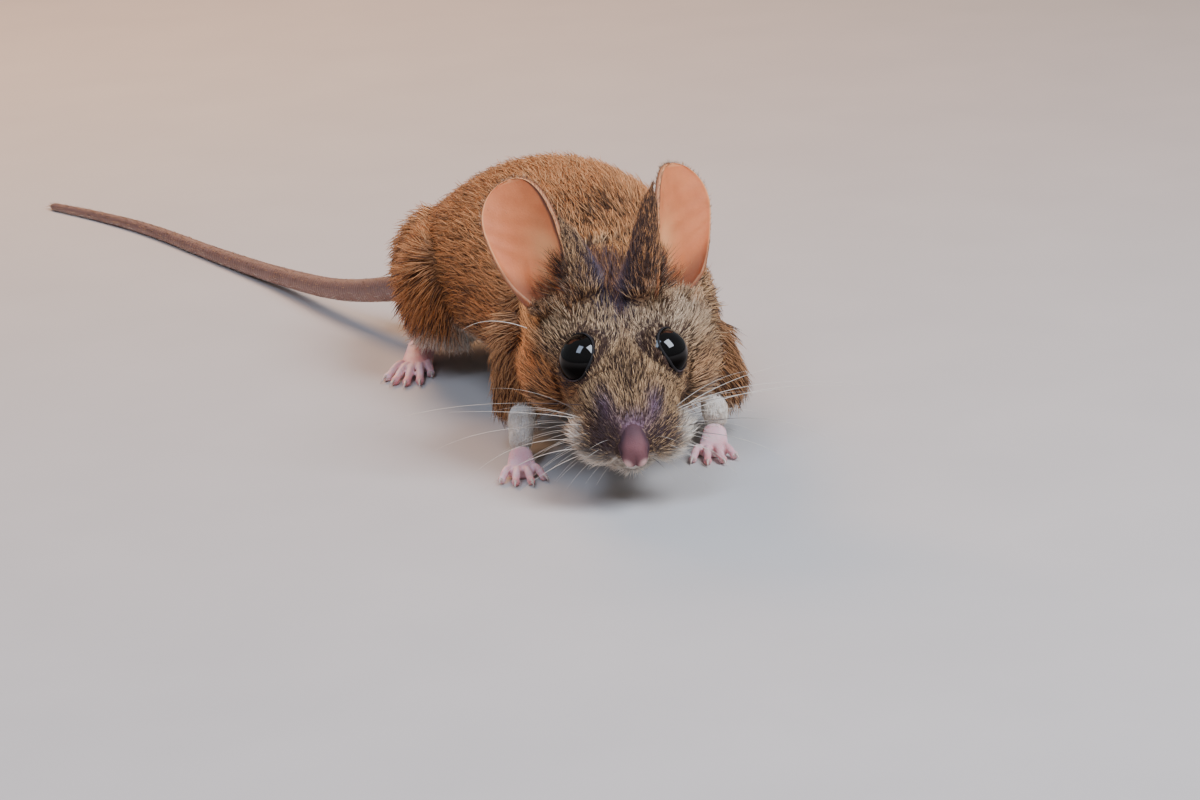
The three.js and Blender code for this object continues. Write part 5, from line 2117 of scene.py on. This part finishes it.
TAIL_RINGS = 190 * 2 * math.pi  # dark rings along the tail, as an angle
FLESH_FINISHES = {
    # ear: its third colour is painted light shining through the pinna and caught at its rim; its fourth is
    # painted shade at the foot and the ear's own darker back and rim line
    Flesh.EAR: FleshFinish("ear_skin", tint(232, 138, 84), tint(208, 114, 66), tint(252, 180, 122),
                           tint(104, 66, 50), 5.0, 0.03, 0.55, glow=0.25),
    # nose: its fourth colour is painted shade on the sides, in the nostrils and in the groove, and the skin's
    # own mauve at the top
    Flesh.NOSE: FleshFinish("nose_skin", tint(134, 84, 86), tint(98, 56, 58), tint(222, 178, 170),
                            tint(70, 42, 50), 7.0, 0.05, 0.65),
    Flesh.PAW: FleshFinish("paw_skin", tint(248, 210, 214), tint(232, 166, 172), tint(228, 130, 132),
                           tint(120, 80, 80), 4.0, 0.04, 0.45, glow=0.3),
    Flesh.TAIL: FleshFinish("tail_skin", tint(178, 142, 132), tint(150, 114, 104), tint(178, 142, 132),
                            tint(104, 76, 70), 4.0, 0.03, 0.55, rings=TAIL_RINGS),
    Flesh.LID: FleshFinish("lid_skin", tint(26, 19, 19), tint(12, 9, 9), tint(96, 78, 84),
                           tint(12, 9, 9), 6.0, 0.03, 0.75, glow=0.0),
}


def eye_finish() -> bpy.types.Material:
    """A black eye, a little brown where light reaches into it, under a clear film that is wettest above."""
    nodes = Nodes("eye_dark")
    depth = nodes.noise(0.9, 2.0)
    return nodes.finish(Base_Color=nodes.mix(depth, tint(3, 3, 3), tint(12, 7, 5)), Roughness=0.05, IOR=1.1,
                        Coat_Weight=nodes.attribute("wet"), Coat_Roughness=0.02, Coat_IOR=1.5)


def claw_finish() -> bpy.types.Material:
    """Pale horn with darker streaks."""
    nodes = Nodes("claw_horn")
    grain = nodes.noise(6.0, 3.0, (1, 0.3, 1))
    nodes.bump(grain, 0.02)
    colour = nodes.mix(grain, tint(238, 224, 214), tint(176, 140, 124))
    return nodes.finish(Base_Color=colour, Roughness=0.35, Coat_Weight=0.3)


def whisker_finish() -> bpy.types.Material:
    """Whiskers, darker at the root in some and pale towards the tip."""
    nodes = Nodes("whisker_hair")
    along, tone = nodes.attribute("along"), nodes.attribute("tone")
    dark = (1 - along.eased(0.1, 0.7)) * tone.eased(0.35, 0.75)
    return nodes.finish(Base_Color=nodes.mix(dark, tint(232, 220, 204), tint(58, 44, 40)), Roughness=0.35)


# ---- floor, light and camera


@dataclass(frozen=True)
class Stage:
    """A plain pale floor, soft light and the camera."""

    floor_size: float = 6.0
    floor: Colour = tint(200, 193, 188)
    camera_at: Point = (-2.8, -427.6, 137.2)  # in the working frame
    tilt: float = 16.5  # degrees that the camera looks down
    roll: float = 3.2
    lens: float = 120.0

    def build(self) -> None:
        """Makes the floor, the lights, the surroundings and the camera."""
        self._floor()
        self._light("key", (209, -157, 356), (0, 5, 12), (190, 260), 2.6, tint(230, 240, 255))
        self._light("window", (-129, -182, 383), (0, 5, 12), (140, 250), 1.0, tint(205, 225, 255))
        self._light("rim", (-140, 330, 260), (-8, 40, 16), (160, 120), 1.4, tint(255, 196, 140))
        world = bpy.data.worlds.new("surroundings")
        world.use_nodes = True
        background = world.node_tree.nodes["Background"]
        background.inputs["Color"].default_value = (*tint(206, 212, 220), 1)
        background.inputs["Strength"].default_value = 0.32
        bpy.context.scene.world = world
        self._camera()

    def _floor(self) -> None:
        """A wide square with a soft mottle."""
        half = self.floor_size / 2
        mesh = bpy.data.meshes.new("floor")
        corners = [(x * half, y * half, 0) for x, y in ((-1, -1), (1, -1), (1, 1), (-1, 1))]
        mesh.from_pydata(corners, [], [(0, 1, 2, 3)])
        piece = bpy.data.objects.new("floor", mesh)
        bpy.context.scene.collection.objects.link(piece)
        nodes = Nodes("floor_paper")
        mottle = nodes.noise(0.05, 4.0)
        piece.data.materials.append(nodes.finish(
            Base_Color=nodes.mix(mottle, self.floor, tint(188, 182, 178)), Roughness=0.85))

    @staticmethod
    def _light(name: str, at: Point, to: Point, size: Pair, power: float, colour: Colour) -> None:
        """A soft rectangular light that faces a point; places and sizes in millimetres, power in watts."""
        data = bpy.data.lights.new(name, "AREA")
        data.shape = "RECTANGLE"
        data.size, data.size_y = (s * MM for s in size)
        data.energy, data.color = power, colour
        lamp = bpy.data.objects.new(name, data)
        place = Vector((np.array(at, float) - CENTRE) * MM)
        aim = Vector((np.array(to, float) - CENTRE) * MM)
        turn = (aim - place).to_track_quat("-Z", "Y").to_matrix().to_4x4()
        lamp.matrix_world = Matrix.Translation(place) @ turn
        bpy.context.scene.collection.objects.link(lamp)

    def _camera(self) -> None:
        """The camera looks along +Y, tilted down, and is turned a little about its own axis."""
        data = bpy.data.cameras.new("camera")
        data.lens, data.sensor_width, data.clip_start, data.clip_end = self.lens, 36.0, 0.01, 20.0
        camera = bpy.data.objects.new("camera", data)
        camera.matrix_world = (Matrix.Translation(Vector((np.array(self.camera_at) - CENTRE) * MM))
                               @ Matrix.Rotation(math.radians(90 - self.tilt), 4, "X")
                               @ Matrix.Rotation(math.radians(-self.roll), 4, "Z"))
        bpy.context.scene.collection.objects.link(camera)
        bpy.context.scene.camera = camera


# ---- the whole animal


def eye_objects() -> list[bpy.types.Object]:
    """The two eyeballs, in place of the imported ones."""
    finish, made = eye_finish(), []
    for eye in EYES:
        surface = eye.eyeball()
        piece = mesh_object(f"eyeball_{eye.side.word}", surface)
        put_attribute(piece, "wet", surface.marks["wet"])
        piece.data.materials.append(finish)
        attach(piece, BODY)
        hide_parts(f"eye_{eye.side.word}")
        made.append(piece)
    return made


def claw_objects() -> list[bpy.types.Object]:
    """The claws of each hand and foot."""
    finish, made = claw_finish(), []
    for leg in (*FORELEGS, *HINDLEGS):
        kind = "hand" if isinstance(leg, Foreleg) else "foot"
        piece = mesh_object(f"claws_{kind}_{leg.side.word}", joined(leg.claws()))
        piece.data.materials.append(finish)
        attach(piece, BODY)
        made.append(piece)
    return made


def main() -> None:
    """Builds the animal and its stage in order."""
    logging.basicConfig(level=logging.INFO, format="%(message)s")
    Stage().build()
    body = Body()
    skin = Skin(body)
    skin.build()
    furred = skin.furred()
    fields = body.fields(furred.points, furred.normals())
    fur = FurFinish()
    finishes = {Flesh.FURRED: fur.on_skin(), **{kind: f.material() for kind, f in FLESH_FINISHES.items()}}
    piece = skin.object(fields, finishes)
    LOG.info("skin: %d faces", len(piece.data.polygons))
    for made in (*eye_objects(), *claw_objects(), Whiskers().object(whisker_finish())):
        LOG.info("%s: %d faces", made.name, len(made.data.polygons))
    coat = Coat(skin, body, fields, fur.on_tufts())
    coat.regions()
    coat.down("coat_pinnae", EARS, "fur_face", 300)
    coat.down("coat_feet", (*FORELEGS, *HINDLEGS), "fur_pale", 310)
    coat.down("coat_tail", (Tail(),), "fur_back", 320)


if __name__ == "__main__":
    main()
